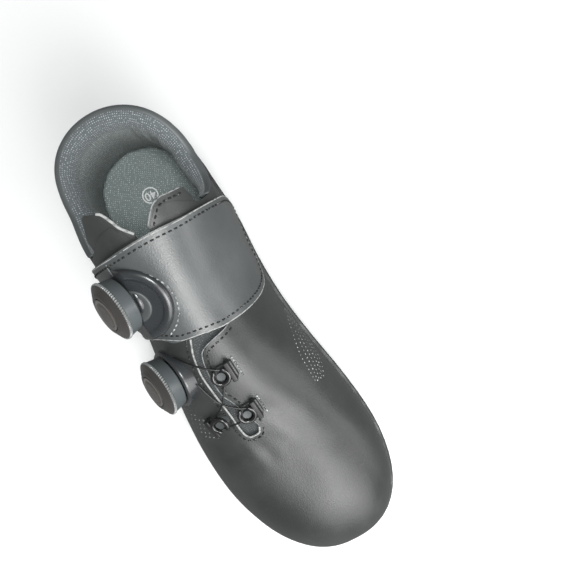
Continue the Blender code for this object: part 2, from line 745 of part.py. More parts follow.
# places on the upper
def onLast(x, y):
    """Point and outward direction of the last above a plan point."""
    station = x / LAST_LENGTH
    side = -1 if y < float(column("swing", station)) * BALL_WIDTH else 1
    tau = 0.5
    for _ in range(12):
        theta = math.acos(1 - 2 * min(max(station, 0.0), 1.0))
        low, high = 0.02, 1.0
        for _ in range(40):
            tau = (low + high) / 2
            point = last(side, np.array(theta), np.array(tau))
            if (point[1] - y) * side > 0:
                low = tau
            else:
                high = tau
        station += (x - point[0]) / LAST_LENGTH
    step = 2e-3
    tau = min(tau, 1 - step)
    along = last(side, np.array(theta + step), np.array(tau)) - last(
        side, np.array(theta - step), np.array(tau))
    upward = last(side, np.array(theta), np.array(tau + step)) - last(
        side, np.array(theta), np.array(tau - step))
    normal = Vector(np.cross(along, upward)).normalized()
    if normal.z < 0:
        normal.negate()
    return Vector(point), normal


def onFlank(side, station, tau):
    """Point and outward direction of the last on a rib, by its share of the way up."""
    theta, step = math.acos(1 - 2 * station), 2e-3
    point = last(side, np.array(theta), np.array(tau))
    along = last(side, np.array(theta + step), np.array(tau)) - last(
        side, np.array(theta - step), np.array(tau))
    upward = last(side, np.array(theta), np.array(tau + step)) - last(
        side, np.array(theta), np.array(tau - step))
    normal = Vector(np.cross(along, upward)).normalized()
    if normal.y * side < 0:
        normal.negate()
    return Vector(point), normal


def seat(point, normal, tilt=0.0, spin=0.0):
    """Matrix of a fitting: its Z out of the upper, its X towards the toe."""
    forward = Vector((1, 0, 0))
    forward = (forward - normal * forward.dot(normal)).normalized()
    # tilt leans the axis further out to the side, about the line that runs to the toe
    normal = Matrix.Rotation(tilt, 3, forward) @ normal
    side = normal.cross(forward)
    turn = Matrix.Rotation(spin, 3, normal)
    forward, side = turn @ forward, turn @ side
    return Matrix.Translation(point) @ Matrix((forward, side, normal)).transposed().to_4x4()


def turned(name, rows, segments, matrix, knurl=None, depth=0.0):
    """Turned body from rows of height and radius; the rows in knurl carry fine teeth."""
    points, faces = [], []
    for r, (height, radius) in enumerate(rows):
        for i in range(segments):
            angle = 2 * math.pi * i / segments
            size = radius - (depth if knurl and r in knurl and i % 2 else 0.0)
            points.append(matrix @ Vector((size * math.cos(angle), size * math.sin(angle), height)))
    for r in range(len(rows) - 1):
        for i in range(segments):
            j = (i + 1) % segments
            faces.append((r * segments + i, r * segments + j,
                          (r + 1) * segments + j, (r + 1) * segments + i))
    faces += [tuple(range(segments)),
              tuple(range((len(rows) - 1) * segments, len(rows) * segments))]
    return solid(name, [tuple(p) for p in points], faces)


# station, share of the way up the flank, further tilt, share of the lean to the toe kept
UPPER_DIAL = (0.343, 0.66, 0.10, 0.4)
LOWER_DIAL = (0.510, 0.54, 0.05, 1.0)


# the moulding's centre: station, share of the ball width, share of the way up; then its axis
SADDLE = (0.3645, -0.2125, 0.971)
SADDLE_AXIS = (0.40, -0.30, 0.866)


def box(name, low, high, matrix):
    corners = [(x, y, z) for z in (low[2], high[2])
               for x, y in ((low[0], low[1]), (high[0], low[1]), (high[0], high[1]), (low[0], high[1]))]
    faces = [(0, 1, 2, 3), (4, 5, 6, 7), (0, 1, 5, 4), (1, 2, 6, 5), (2, 3, 7, 6), (3, 0, 4, 7)]
    return solid(name, [tuple(matrix @ Vector(c)) for c in corners], faces)


def saddle(dialAt, cutHeight):
    """Round stepped moulding that faces up, cut flat behind the knob."""
    station, across, level = SADDLE
    x, z = flank(station, level)
    at = seat(Vector((x, across * BALL_WIDTH, z)), Vector(SADDLE_AXIS).normalized())
    band = SADDLE_RADIUS - SADDLE_BAND
    rise = SADDLE_RISE
    body = turned("saddle", ((-0.013, SADDLE_RADIUS), (rise * 0.35, SADDLE_RADIUS),
                             (rise, SADDLE_RADIUS - SADDLE_BAND * 0.30),
                             (rise * 0.85, band + SADDLE_BAND * 0.15), (0.0, band),
                             (0.0, SADDLE_CAP + 0.0002), (rise * 0.6, SADDLE_CAP)), 40, at)
    far = 0.06
    carve(body, box("front", (-far, -far, cutHeight), (far, far, far), dialAt))
    carve(body, box("below", (-far, -far, -far), (far, -0.002, far), dialAt))
    return body


def dial(prefix, place, layer, lift, dishRadius, saddled=False):
    station, level, tilt, lean = place
    point, normal = onFlank(-1, station, level)
    axis = Vector((normal.x * lean, normal.y, normal.z)).normalized()
    at = seat(point + normal * layer, axis, tilt)
    # dished base with a hub under the knob
    rim = dishRadius - DISH_FLOOR
    hub = DIAL_RADIUS * 0.52
    base = turned(prefix + "_dial_base",
                  ((-0.012, dishRadius), (DISH_RIM * 0.55, dishRadius),
                   (DISH_RIM, dishRadius - 0.0009), (DISH_RIM, dishRadius - 0.0016),
                   (DISH_RIM * 0.30, rim), (DISH_RIM * 0.30, hub + 0.0002),
                   (lift - 0.0006, hub), (lift - GAP, hub - 0.0006)), 32, at)
    if saddled:
        carve(base, saddle(at, lift - SADDLE_CUT), "UNION")
    carve(base, form("seat", layer + GAP, skirt=0.004))
    keepLargest(base)
    paint(base, plastic)
    # knob: smooth skirt, knurled rim, bevelled face with a shallow seat for the badge
    top = lift + KNOB_HEIGHT
    teeth = 2 * KNURLS
    knob = turned(prefix + "_dial_knob",
                  ((lift, DIAL_RADIUS - 0.0034), (lift + 0.0008, DIAL_RADIUS - 0.0020),
                   (lift + KNOB_HEIGHT * 0.50, DIAL_RADIUS - 0.0014),
                   (lift + KNOB_HEIGHT * 0.58, DIAL_RADIUS),
                   (lift + KNOB_HEIGHT * 0.84, DIAL_RADIUS),
                   (lift + KNOB_HEIGHT * 0.92, DIAL_RADIUS - 0.0012),
                   (top, BADGE_RADIUS + 0.0022), (top, BADGE_RADIUS + GAP),
                   (top - BADGE_DEPTH - GAP, BADGE_RADIUS + GAP)),
                  teeth, at, knurl=(3, 4), depth=0.0006)
    paint(knob, plastic)
    badge = turned(prefix + "_dial_badge",
                   ((top - BADGE_DEPTH, BADGE_RADIUS), (top + 0.0002, BADGE_RADIUS),
                    (top + 0.0007, BADGE_RADIUS - 0.0012)), 26, at)
    paint(badge, cap)
    return at


upperAt = dial("upper", UPPER_DIAL, GAP + STRAP_WALL, UPPER_LIFT, DISH_RADIUS, saddled=True)
lowerAt = dial("lower", LOWER_DIAL, 0.0, LOWER_LIFT, DIAL_RADIUS + 0.0006)


# wire guides: a stitched tab with a spool whose ring holds the wire down
def guide(name, place, layer=0.0):
    station, side, level, spin = place
    point, normal = onFlank(side, station, level)
    at = seat(point + normal * layer, normal, 0.0, math.radians(spin))
    a, b = TAB_LENGTH / 2, TAB_WIDTH / 2
    shift = TAB_WIDTH * 0.42
    rim = rounded([(-a, -b + shift), (a, -b + shift), (a, b + shift), (-a, b + shift)], 0.0012, 2)
    n = len(rim)
    points = [at @ Vector((x, y, z)) for z in (-0.006, TAB_HEIGHT) for x, y in rim]
    faces = [(i, (i + 1) % n, n + (i + 1) % n, n + i) for i in range(n)]
    faces += [tuple(range(n)), tuple(range(n, 2 * n))]
    tab = solid(name, [tuple(p) for p in points], faces)
    high = TAB_HEIGHT + 2 * WIRE_RADIUS + 2 * GAP
    foot = RING_RADIUS + RING_TUBE * 0.6
    spool = turned("spool", ((-0.0055, foot), (TAB_HEIGHT - 0.0002, foot),
                             (TAB_HEIGHT - 0.0002, SPOOL_RADIUS), (high, SPOOL_RADIUS),
                             (high, RING_RADIUS + RING_TUBE * 0.5),
                             (high + RING_TUBE * 0.6, RING_RADIUS + RING_TUBE),
                             (high + RING_TUBE * 1.6, RING_RADIUS),
                             (high + RING_TUBE * 0.6, SPOOL_RADIUS * 0.8)), 16, at)
    carve(tab, spool, "UNION")
    # back block of the guide, as tall as the ring, clear of the wire's arc
    block = TAB_WIDTH * 0.30
    wide = TAB_LENGTH * 0.42
    near = SPOOL_RADIUS + 2 * WIRE_RADIUS + 3 * GAP
    shape = [(-wide, near), (wide, near), (wide, near + block), (-wide, near + block)]
    points = [at @ Vector((x, y, z)) for z in (-0.004, high + RING_TUBE) for x, y in shape]
    faces = [(0, 1, 5, 4), (1, 2, 6, 5), (2, 3, 7, 6), (3, 0, 4, 7), (0, 1, 2, 3), (4, 5, 6, 7)]
    carve(tab, solid("block", [tuple(p) for p in points], faces), "UNION")
    carve(tab, form("seat", layer + GAP, skirt=0.004))
    keepLargest(tab)
    return paint(tab, plastic), at


# station, side, share of the way up the flank, turn of the tab from the inner side in degrees
GUIDES = {
    "guide_inner_upper": (0.545, -1, 0.965, 0.0),
    "guide_inner_lower": (0.632, -1, 0.965, 0.0),
    "guide_outer_lower": (0.628, -1, 0.770, 180.0),
    "guide_outer_upper": (0.343, -1, 0.170, 180.0),
}
guideAt = {name: guide(name, place)[1] for name, place in GUIDES.items()}


def aroundSpool(name, start, end, steps=6):
    """Points of the wire round a guide's spool, between two angles in degrees, with a
    straight lead on each side."""
    at = guideAt[name]
    turn = SPOOL_RADIUS + WIRE_RADIUS + 1.5 * GAP
    high = TAB_HEIGHT + WIRE_RADIUS + GAP
    way = 1 if end > start else -1
    out = []
    for t in range(steps + 1):
        angle = math.radians(start + (end - start) * t / steps)
        out.append(Vector((turn * math.cos(angle), turn * math.sin(angle), high)))
    for place, angle, sign in ((0, start, -1), (len(out) + 1, end, 1)):
        angle = math.radians(angle)
        ahead = Vector((-math.sin(angle), math.cos(angle), 0)) * way * sign
        end_point = out[0] if sign < 0 else out[-1]
        out.insert(place, end_point + ahead * TAB_LENGTH * 0.40)
    return [at @ point for point in out]


def lifted(x, y, height):
    point, normal = onLast(x * LAST_LENGTH, y * BALL_WIDTH)
    return point + normal * height


def smoothPath(points, spacing):
    """Even points along a smooth curve through the given ones."""
    pts = [np.array(p) for p in points]
    chord = np.concatenate([[0], np.cumsum([math.sqrt(np.linalg.norm(b - a))
                                            for a, b in zip(pts, pts[1:])])])
    pts = np.array(pts)
    dense = np.linspace(0, chord[-1], 900)
    line = np.stack([smoothTable(list(zip(chord, pts[:, axis])), dense) for axis in range(3)], 1)
    run = np.concatenate([[0], np.cumsum(np.linalg.norm(np.diff(line, axis=0), axis=1))])
    number = max(int(run[-1] / spacing), 8)
    marks = np.linspace(0, run[-1], number + 1)
    return np.stack([np.interp(marks, run, line[:, axis]) for axis in range(3)], 1)


def cord(name, points, radius, spacing=0.0026):
    curve = bpy.data.curves.new(name, "CURVE")
    curve.dimensions = "3D"
    curve.bevel_depth = radius
    curve.bevel_resolution = 1
    curve.use_fill_caps = True
    path = smoothPath(points, spacing)
    spline = curve.splines.new("POLY")
    spline.points.add(len(path) - 1)
    for slot, p in zip(spline.points, path):
        slot.co = (*p, 1)
    obj = bpy.data.objects.new(name, curve)
    bpy.context.scene.collection.objects.link(obj)
    curve.materials.append(wire)
    return obj


def atBase(at, radius, degrees, layer):
    """Where the wire leaves a dial's base, just clear of the layer under it."""
    angle = math.radians(degrees)
    out = radius + GAP + 1.2 * WIRE_RADIUS
    x, y = out * math.cos(angle), out * math.sin(angle)
    theta, tau = np.meshgrid(np.linspace(0.9, 1.9, 90), np.linspace(0.2, 0.98, 90))
    spots = last(-1, theta, tau).reshape(-1, 3)
    back = np.array(at.inverted())
    spots = spots @ back[:3, :3].T + back[:3, 3]
    nearest = np.argmin(np.hypot(spots[:, 0] - x, spots[:, 1] - y))
    return at @ Vector((x, y, float(spots[nearest, 2]) + layer + 2.4 * WIRE_RADIUS))


def overFlank(station, tau, height):
    point, normal = onFlank(-1, station, tau)
    return point + normal * height


# lower wire: dial, upper inner guide, across to the outer guide, lower inner guide, dial
near = 3.0 * WIRE_RADIUS
level = TAB_HEIGHT + WIRE_RADIUS
clear = 6.5 * WIRE_RADIUS
baseRadius = DIAL_RADIUS + 0.0006
route = [atBase(lowerAt, baseRadius, 122, 0), lifted(0.508, -0.105, level)]
route += aroundSpool("guide_inner_upper", 150, 39)
route += [lifted(0.590, -0.085, clear)]
route += aroundSpool("guide_outer_lower", 39, 173)
route += aroundSpool("guide_inner_lower", 0, 151)
route += [lifted(0.592, -0.110, near), atBase(lowerAt, baseRadius, 58, 0)]
cord("lower_wire", route, WIRE_RADIUS)

# upper wire: down from the upper dial over the strap's tab, round the guide and back
over = 2 * GAP + STRAP_WALL + 3 * WIRE_RADIUS
station = UPPER_DIAL[0]
route = [atBase(upperAt, DISH_RADIUS, -118, GAP + STRAP_WALL), overFlank(station - 0.018, 0.39, over),
         overFlank(station - 0.013, 0.25, over)]
route += aroundSpool("guide_outer_upper", 0, 180)
route += [overFlank(station + 0.013, 0.25, over), overFlank(station + 0.018, 0.39, over),
          atBase(upperAt, DISH_RADIUS, -62, GAP + STRAP_WALL)]
cord("upper_wire", route, WIRE_RADIUS)

# everything moves so that the heel pad's ground face is centred on the origin
bpy.context.view_layer.update()
for obj in list(bpy.data.objects):
    if obj.type == "MESH":
        obj.data.transform(Matrix.Translation(-ORIGIN))
    else:
        for slot in obj.data.splines[0].points:
            slot.co = (*(Vector(slot.co[:3]) - ORIGIN), 1)
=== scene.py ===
import math
import random

import bmesh
import bpy
import numpy as np
from mathutils import Matrix, Vector


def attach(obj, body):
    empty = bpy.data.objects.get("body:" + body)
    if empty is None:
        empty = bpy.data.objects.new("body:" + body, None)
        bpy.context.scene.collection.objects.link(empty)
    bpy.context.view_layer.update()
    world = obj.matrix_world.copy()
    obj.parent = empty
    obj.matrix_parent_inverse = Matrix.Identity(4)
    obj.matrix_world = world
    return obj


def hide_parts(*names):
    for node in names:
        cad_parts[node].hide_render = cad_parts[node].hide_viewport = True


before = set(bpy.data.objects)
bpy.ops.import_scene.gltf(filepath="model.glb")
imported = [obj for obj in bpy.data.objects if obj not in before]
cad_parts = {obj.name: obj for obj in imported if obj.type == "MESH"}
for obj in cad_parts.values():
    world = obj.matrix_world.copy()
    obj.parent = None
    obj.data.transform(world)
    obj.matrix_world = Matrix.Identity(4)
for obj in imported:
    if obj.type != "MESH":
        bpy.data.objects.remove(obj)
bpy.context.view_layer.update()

random.seed(4)

# sizes shared with the CAD model, in metres
sizes = {
    "length": 0.268, "ball": 0.096, "heelStack": 0.024, "ballStack": 0.0123, "toeStack": 0.022,
    "instep": 0.100, "box": 0.046, "collarBack": 0.083, "collarSide": 0.071,
    "flare": 0.0032, "flareDepth": 0.034, "wall": 0.002, "gap": 0.0003,
}
columns = ("station", "breadth", "swing", "heel", "toe", "instep", "box", "side", "rise")
lastRows = (
    (0.00, 0.69, 0.010, 1.00, 0.00, 1.150, 0.00, 0.70, 1.00),
    (0.13, 0.71, 0.012, 0.92, 0.00, 1.110, 0.00, 0.70, 1.00),
    (0.25, 0.76, 0.016, 0.80, 0.00, 0.970, 0.00, 0.80, 1.00),
    (0.36, 0.75, 0.013, 0.62, 0.00, 0.850, 0.00, 0.98, 1.00),
    (0.46, 0.80, 0.002, 0.42, 0.00, 0.755, 0.00, 1.00, 0.98),
    (0.57, 0.874, 0.013, 0.15, 0.00, 0.400, 0.59, 0.92, 0.92),
    (0.67, 0.95, 0.031, 0.00, 0.00, 0.150, 0.88, 0.86, 0.88),
    (0.77, 0.970, 0.060, 0.00, 0.03, 0.000, 1.01, 0.82, 0.86),
    (0.87, 0.910, 0.096, 0.00, 0.28, 0.000, 0.80, 0.80, 0.86),
    (1.00, 0.86, 0.137, 0.00, 1.00, 0.000, 0.52, 0.80, 0.86),
)
toplineRows = ((-0.10, 1.0), (0.00, 1.0), (0.05, 0.80), (0.10, 0.30), (0.15, 0.0), (0.20, 0.0),
               (0.60, 0.0))
length, ball = sizes["length"], sizes["ball"]


def smoothTable(rows, station):
    xs = np.array([row[0] for row in rows])
    ys = np.array([row[1] for row in rows])
    slope = np.gradient(ys, xs)
    station = np.clip(np.asarray(station, float), xs[0], xs[-1])
    i = np.clip(np.searchsorted(xs, station) - 1, 0, len(xs) - 2)
    h = xs[i + 1] - xs[i]
    t = (station - xs[i]) / h
    return ((1 + 2 * t) * (1 - t) ** 2 * ys[i] + t * (1 - t) ** 2 * h * slope[i]
            + t * t * (3 - 2 * t) * ys[i + 1] + t * t * (t - 1) * h * slope[i + 1])


# smooth values through a few evenly spaced ones
def eased(values, count):
    return smoothTable(list(zip(np.linspace(0, 1, len(values)), values)), np.linspace(0, 1, count))


def easedLine(corners, count):
    xs, zs = (eased([p[i] for p in corners], count)[1:] for i in (0, 1))
    return list(zip(xs.tolist(), zs.tolist()))


def column(name, station):
    at = columns.index(name)
    return smoothTable([(row[0], row[at]) for row in lastRows], station)


def feather(station):
    return (sizes["ballStack"]
            + (sizes["heelStack"] - sizes["ballStack"]) * column("heel", station)
            + (sizes["toeStack"] - sizes["ballStack"]) * column("toe", station))


def crown(station):
    return (feather(station) + sizes["instep"] * column("instep", station)
            + sizes["box"] * column("box", station))


def topline(station):
    share = smoothTable(toplineRows, station)
    return sizes["collarSide"] + (sizes["collarBack"] - sizes["collarSide"]) * share


def halfBreadth(station):
    half = column("breadth", station) * ball / 2
    back = np.clip((0.125 - station) / 0.125, 0, 1)
    front = np.clip((station - 0.80) / 0.20, 0, 1)
    return (half * np.sqrt(np.clip(1 - back ** 2.2, 0, 1))
            * np.clip(1 - front ** 2.3, 0, 1) ** (1 / 2.3))


def softMin(a, b, blend):
    h = np.clip(blend - np.abs(a - b), 0, None) / blend
    return np.minimum(a, b) - h * h * blend / 4


def smoothStep(t):
    t = np.clip(t, 0, 1)
    return t * t * (3 - 2 * t)


def last(side, theta, tau):
    station = (1 - np.cos(theta)) / 2
    x0 = length * station
    y0 = column("swing", station) * ball + side * halfBreadth(station)
    x1 = -softMin(-softMin(x0, 0.855 * length, 0.082 * length), -0.13 * length, 0.082 * length)
    s1 = x1 / length
    y1 = column("swing", s1) * ball
    slope = (crown(s1 + 0.01) - crown(s1 - 0.01)) / (0.02 * length)
    across = np.cos(np.pi / 2 * tau) ** column("side", s1)
    across = across + 0.05 * np.sin(np.pi * tau) * (1 - tau)
    up = np.sin(np.pi / 2 * tau) ** column("rise", s1)
    x = x1 + (x0 - x1) * across
    y = y1 + (y0 - y1) * across
    low = feather(station)
    z = low + (crown(s1) + slope * (x - x1) - low) * up
    deep = sizes["flareDepth"]
    lean = np.clip((z - (topline(x / length) - deep)) / deep, 0, 1.15)
    lean = lean * lean * (3 - 2 * np.clip(lean, 0, 1)) * smoothStep((0.40 - station) / 0.14)
    lean = lean * np.clip((1 - tau) / 0.5, 0, 1)
    reach = np.maximum(np.hypot(x0 - x1, y0 - y1), 1e-6)
    x = x + (x0 - x1) / reach * sizes["flare"] * lean
    y = y + (y0 - y1) / reach * sizes["flare"] * lean
    return np.stack([x, y, z], -1)


padCentre = 0.0254
origin = Vector((padCentre, float(column("swing", padCentre / length)) * ball, 0))
shift = Matrix.Translation(-origin)


# the last as a fine grid of ribs, with directions out of it
class Grid:
    def __init__(self, ribs, levels):
        self.ribs, self.levels = ribs, levels
        theta = np.pi * np.arange(ribs + 1) / ribs
        tau = np.arange(levels + 1) / levels
        outer = last(-1, theta[:, None], tau[None, :])
        inner = last(1, theta[:, None], tau[None, :])
        self.points = np.concatenate([outer, inner[-2:0:-1]])
        self.out = self.directions()

    def faces(self):
        n, w = 2 * self.ribs, self.levels + 1
        k, j = np.meshgrid(np.arange(n), np.arange(self.levels), indexing="ij")
        m = (k + 1) % n
        quads = np.stack([k * w + j, m * w + j, m * w + j + 1, k * w + j + 1], -1)
        return quads.reshape(-1, 4)

    def directions(self):
        flat = self.points.reshape(-1, 3)
        keys = np.round(flat * 1e7).astype(np.int64)
        _, ids = np.unique(keys, axis=0, return_inverse=True)
        ids = ids.ravel()
        quads = self.faces()
        a, b, c, d = (flat[quads[:, i]] for i in range(4))
        normal = np.cross(c - a, d - b)
        total = np.zeros((ids.max() + 1, 3))
        for i in range(4):
            np.add.at(total, ids[quads[:, i]], normal)
        total /= np.maximum(np.linalg.norm(total, axis=1, keepdims=True), 1e-12)
        out = total[ids].reshape(self.points.shape)
        return -out if out[self.ribs // 2, 2, 1] > 0 else out


grid = Grid(150, 46)
print("last grid", grid.points.shape)


# soft troughs and ridges of the worn surface: ends in plan (share of length, ball), width, depth
creases = (
    (0.690, -0.075, 0.735, -0.030, 0.0042, -0.00075),
    (0.700, 0.010, 0.735, 0.075, 0.0050, -0.00055),
    (0.715, -0.120, 0.752, -0.085, 0.0050, 0.00045),
    (0.655, 0.120, 0.700, 0.190, 0.0060, -0.00045),
    (0.600, 0.100, 0.640, 0.180, 0.0055, 0.00035),
    (0.640, -0.330, 0.690, -0.250, 0.0060, -0.00050),
    (0.705, -0.300, 0.760, -0.200, 0.0070, 0.00040),
    (0.560, 0.240, 0.640, 0.330, 0.0070, -0.00040),
    (0.740, 0.180, 0.780, 0.330, 0.0080, -0.00045),
    (0.745, -0.150, 0.790, 0.060, 0.0090, -0.00040),
    (0.500, -0.420, 0.560, -0.340, 0.0070, -0.00045),
    (0.440, -0.400, 0.470, -0.300, 0.0065, 0.00040),
    (0.300, 0.330, 0.330, 0.395, 0.0080, -0.00050),
    (0.360, 0.120, 0.350, 0.330, 0.0100, 0.00045),
    (0.410, 0.060, 0.400, 0.300, 0.0100, -0.00035),
)


def relief(points):
    x, y = points[..., 0] / length, points[..., 1] / ball
    total = np.zeros(x.shape)
    for ax, ay, bx, by, width, depth in creases:
        px, py = (x - ax) * length, (y - ay) * ball
        dx, dy = (bx - ax) * length, (by - ay) * ball
        t = np.clip((px * dx + py * dy) / (dx * dx + dy * dy), 0, 1)
        away = np.hypot(px - t * dx, py - t * dy)
        total += depth * np.exp(-(away / width) ** 2)
    # slow unevenness of stretched leather
    total += 0.00018 * np.sin(61 * points[..., 0] + 90 * points[..., 1]) * np.sin(
        75 * points[..., 1] - 38 * points[..., 2] + 1.3)
    return total


def newObject(name, mesh):
    obj = bpy.data.objects.new(name.replace(" ", "_"), mesh)
    bpy.context.scene.collection.objects.link(obj)
    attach(obj, "root")
    return obj


def rawMesh(name, points, faces):
    mesh = bpy.data.meshes.new(name)
    mesh.from_pydata(points, [], faces)
    return mesh


# turns the faces outward and drops points that no face uses
def facesOut(mesh):
    bm = bmesh.new()
    bm.from_mesh(mesh)
    bmesh.ops.delete(bm, geom=[v for v in bm.verts if not v.link_faces], context="VERTS")
    bmesh.ops.recalc_face_normals(bm, faces=bm.faces)
    bm.to_mesh(mesh)
    bm.free()
    mesh.update()


# a closed form, with points that lie together made one
def solid(name, points, faces, kinds=None):
    points = np.asarray(points, float).reshape(-1, 3)
    keys = np.round(points * 1e7).astype(np.int64)
    _, first, ids = np.unique(keys, axis=0, return_index=True, return_inverse=True)
    ids = ids.ravel()
    kept, keptKinds = [], []
    for index, face in enumerate(faces):
        ring = []
        for v in face:
            if not ring or ids[v] != ring[-1]:
                ring.append(int(ids[v]))
        if len(ring) > 1 and ring[0] == ring[-1]:
            ring.pop()
        if len(ring) > 2 and len(set(ring)) == len(ring):
            kept.append(ring)
            keptKinds.append(kinds[index] if kinds is not None else 0)
    mesh = rawMesh(name, points[first].tolist(), kept)
    mesh.polygons.foreach_set("material_index", keptKinds)
    facesOut(mesh)
    return mesh


def tempObject(name, mesh):
    obj = bpy.data.objects.new(name, mesh)
    bpy.context.scene.collection.objects.link(obj)
    return obj


def carve(mesh, tool, how="DIFFERENCE"):
    piece, cutter = tempObject("piece", mesh), tempObject("tool", tool)
    mod = piece.modifiers.new("carve", "BOOLEAN")
    mod.operation, mod.solver, mod.object = how, "EXACT", cutter
    done = bpy.data.meshes.new_from_object(
        piece.evaluated_get(bpy.context.evaluated_depsgraph_get()))
    for obj in (piece, cutter):
        data = obj.data
        bpy.data.objects.remove(obj)
        bpy.data.meshes.remove(data)
    return done


# strips straight across a ring of points
def spanFaces(ring):
    n = len(ring)
    return [(ring[k], ring[k + 1], ring[(n - k - 1) % n], ring[(n - k) % n])
            for k in range(n // 2)]


# closed shell between two offsets of the last, its inner face of another kind
def shell(name, outside, inside):
    rise = relief(grid.points)[..., None]
    outer = grid.points + grid.out * (outside + rise)
    inner = grid.points + grid.out * (inside + rise)
    count = outer.shape[0] * outer.shape[1]
    quads = grid.faces()
    n, w = 2 * grid.ribs, grid.levels + 1
    faces = [tuple(q) for q in quads] + [tuple(q + count) for q in quads]
    kinds = [0] * len(quads) + [1] * len(quads)
    for k in range(n):
        m = (k + 1) % n
        faces.append((k * w, m * w, count + m * w, count + k * w))
        kinds.append(0)
    return solid(name, np.concatenate([outer.reshape(-1, 3), inner.reshape(-1, 3)]), faces, kinds)


def flank(station, level):
    low, high = float(feather(station)), float(crown(station))
    return (station * length, low + (high - low) * level)


def soften(points, rounds=3):
    for _ in range(rounds):
        out = []
        for i, p in enumerate(points):
            q = points[(i + 1) % len(points)]
            out.append(tuple(a * 0.75 + b * 0.25 for a, b in zip(p, q)))
            out.append(tuple(a * 0.25 + b * 0.75 for a, b in zip(p, q)))
        points = out
    return points


# quads between rings of points that follow each other, and their two end faces
def ringFaces(rows, count, base=0, capped=True):
    faces = [(r + i, r + (i + 1) % count, r + count + (i + 1) % count, r + count + i)
             for r in range(base, base + (rows - 1) * count, count) for i in range(count)]
    if capped:
        top = base + (rows - 1) * count
        faces += [tuple(range(base, base + count)), tuple(range(top, top + count))]
    return faces


# a cutter through the shoe from side to side, whose outline changes at the middle
def sideTool(outer, inner, blend=0.003, reach=0.14):
    mid = float(column("swing", 0.35)) * ball
    rows = ((mid - reach, outer), (mid - blend, outer), (mid + blend, inner), (mid + reach, inner))
    n = len(outer)
    points = [(x, y, z) for y, ring in rows for x, z in ring]
    faces = [half for a, b, c, d in ringFaces(4, n, capped=False)
             for half in ((a, b, c), (a, c, d))]
    return solid("side tool", points, faces + [tuple(range(n)), tuple(range(3 * n, 4 * n))])


# an upright cutter with its outline in plan
def planTool(outline, low, high):
    points = [(x, y, z) for z in (low, high) for x, y in outline]
    return solid("plan tool", points, ringFaces(2, len(outline)))


def planPoints(rows):
    return [(s * length, y * ball) for s, y in rows]


# points and directions on the last, searched by plan place, by side view place or by rib
def outward(side, theta, tau):
    step = 2e-3
    tau = min(max(tau, step), 1 - step)
    along = last(side, np.array(theta + step), np.array(tau)) - last(
        side, np.array(theta - step), np.array(tau))
    upward = last(side, np.array(theta), np.array(tau + step)) - last(
        side, np.array(theta), np.array(tau - step))
    normal = Vector(np.cross(along, upward)).normalized()
    if normal.z + normal.y * side * 0.5 < 0:
        normal.negate()
    return normal


def search(side, station, good, wanted, axis, rounds=9):
    theta = tau = 0.5
    goal = station * length
    for _ in range(rounds):
        theta = math.acos(1 - 2 * min(max(station, 1e-4), 0.9999))
        taus = np.linspace(0.0, 1.0, 160)
        line = last(side, np.full(160, theta), taus)
        value = line[:, axis] * good
        order = np.argsort(value)
        tau = float(np.interp(wanted * good, value[order], taus[order]))
        x = float(np.interp(tau, taus, line[:, 0]))
        station += (goal - x) / length
    return Vector(last(side, np.array(theta), np.array(tau))), outward(side, theta, tau)


def onPlan(x, y):
    side = -1 if y < float(column("swing", x / length)) * ball else 1
    return search(side, x / length, -side, y, 1)


def onSide(side, x, z):
    return search(side, x / length, 1, z, 2)


def onFlank(side, station, tau):
    theta = math.acos(1 - 2 * station)
    return Vector(last(side, np.array(theta), np.array(tau))), outward(side, theta, tau)


def lifted(pairs, height):
    return [(p + n * (height + float(relief(np.array(p)))), n) for p, n in pairs]


def evenPath(pairs, spacing):
    pts = np.array([tuple(p) for p, _ in pairs])
    nrm = np.array([tuple(n) for _, n in pairs])
    run = np.concatenate([[0], np.cumsum(np.linalg.norm(np.diff(pts, axis=0), axis=1))])
    count = max(int(round(run[-1] / spacing)), 2)
    marks = np.linspace(0, run[-1], count + 1)
    at = np.stack([np.interp(marks, run, pts[:, i]) for i in range(3)], 1)
    up = np.stack([np.interp(marks, run, nrm[:, i]) for i in range(3)], 1)
    return [(Vector(a), Vector(b).normalized()) for a, b in zip(at, up)]


def aside(pairs, distance):
    out = []
    for i, (p, n) in enumerate(pairs):
        a, b = pairs[max(i - 1, 0)][0], pairs[min(i + 1, len(pairs) - 1)][0]
        ahead = (b - a).normalized()
        out.append((p + n.cross(ahead).normalized() * distance, n))
    return out


# materials: nodes are made with their inputs, each a value or a link from another node
def feed(tree, node, values):
    for label, value in values.items():
        if isinstance(value, bpy.types.NodeSocket):
            tree.links.new(value, node.inputs[label])
        else:
            node.inputs[label].default_value = value
    return node


def addNode(tree, kind, values={}, **options):
    node = tree.nodes.new("ShaderNode" + kind)
    for key, value in options.items():
        setattr(node, key, value)
    return feed(tree, node, values)


def nodeGroup(name, inputs, outputs):
    group = bpy.data.node_groups.new(name, "ShaderNodeTree")
    for label, value in inputs.items():
        socket = group.interface.new_socket(label, in_out="INPUT", socket_type="NodeSocketFloat")
        socket.default_value = value
    for label in outputs:
        group.interface.new_socket(label, in_out="OUTPUT", socket_type="NodeSocketFloat")
    return group, group.nodes.new("NodeGroupInput").outputs, group.nodes.new("NodeGroupOutput")


def mathNode(tree, how, a, b=0.5):
    return addNode(tree, "Math", {0: a, 1: b}, operation=how).outputs[0]


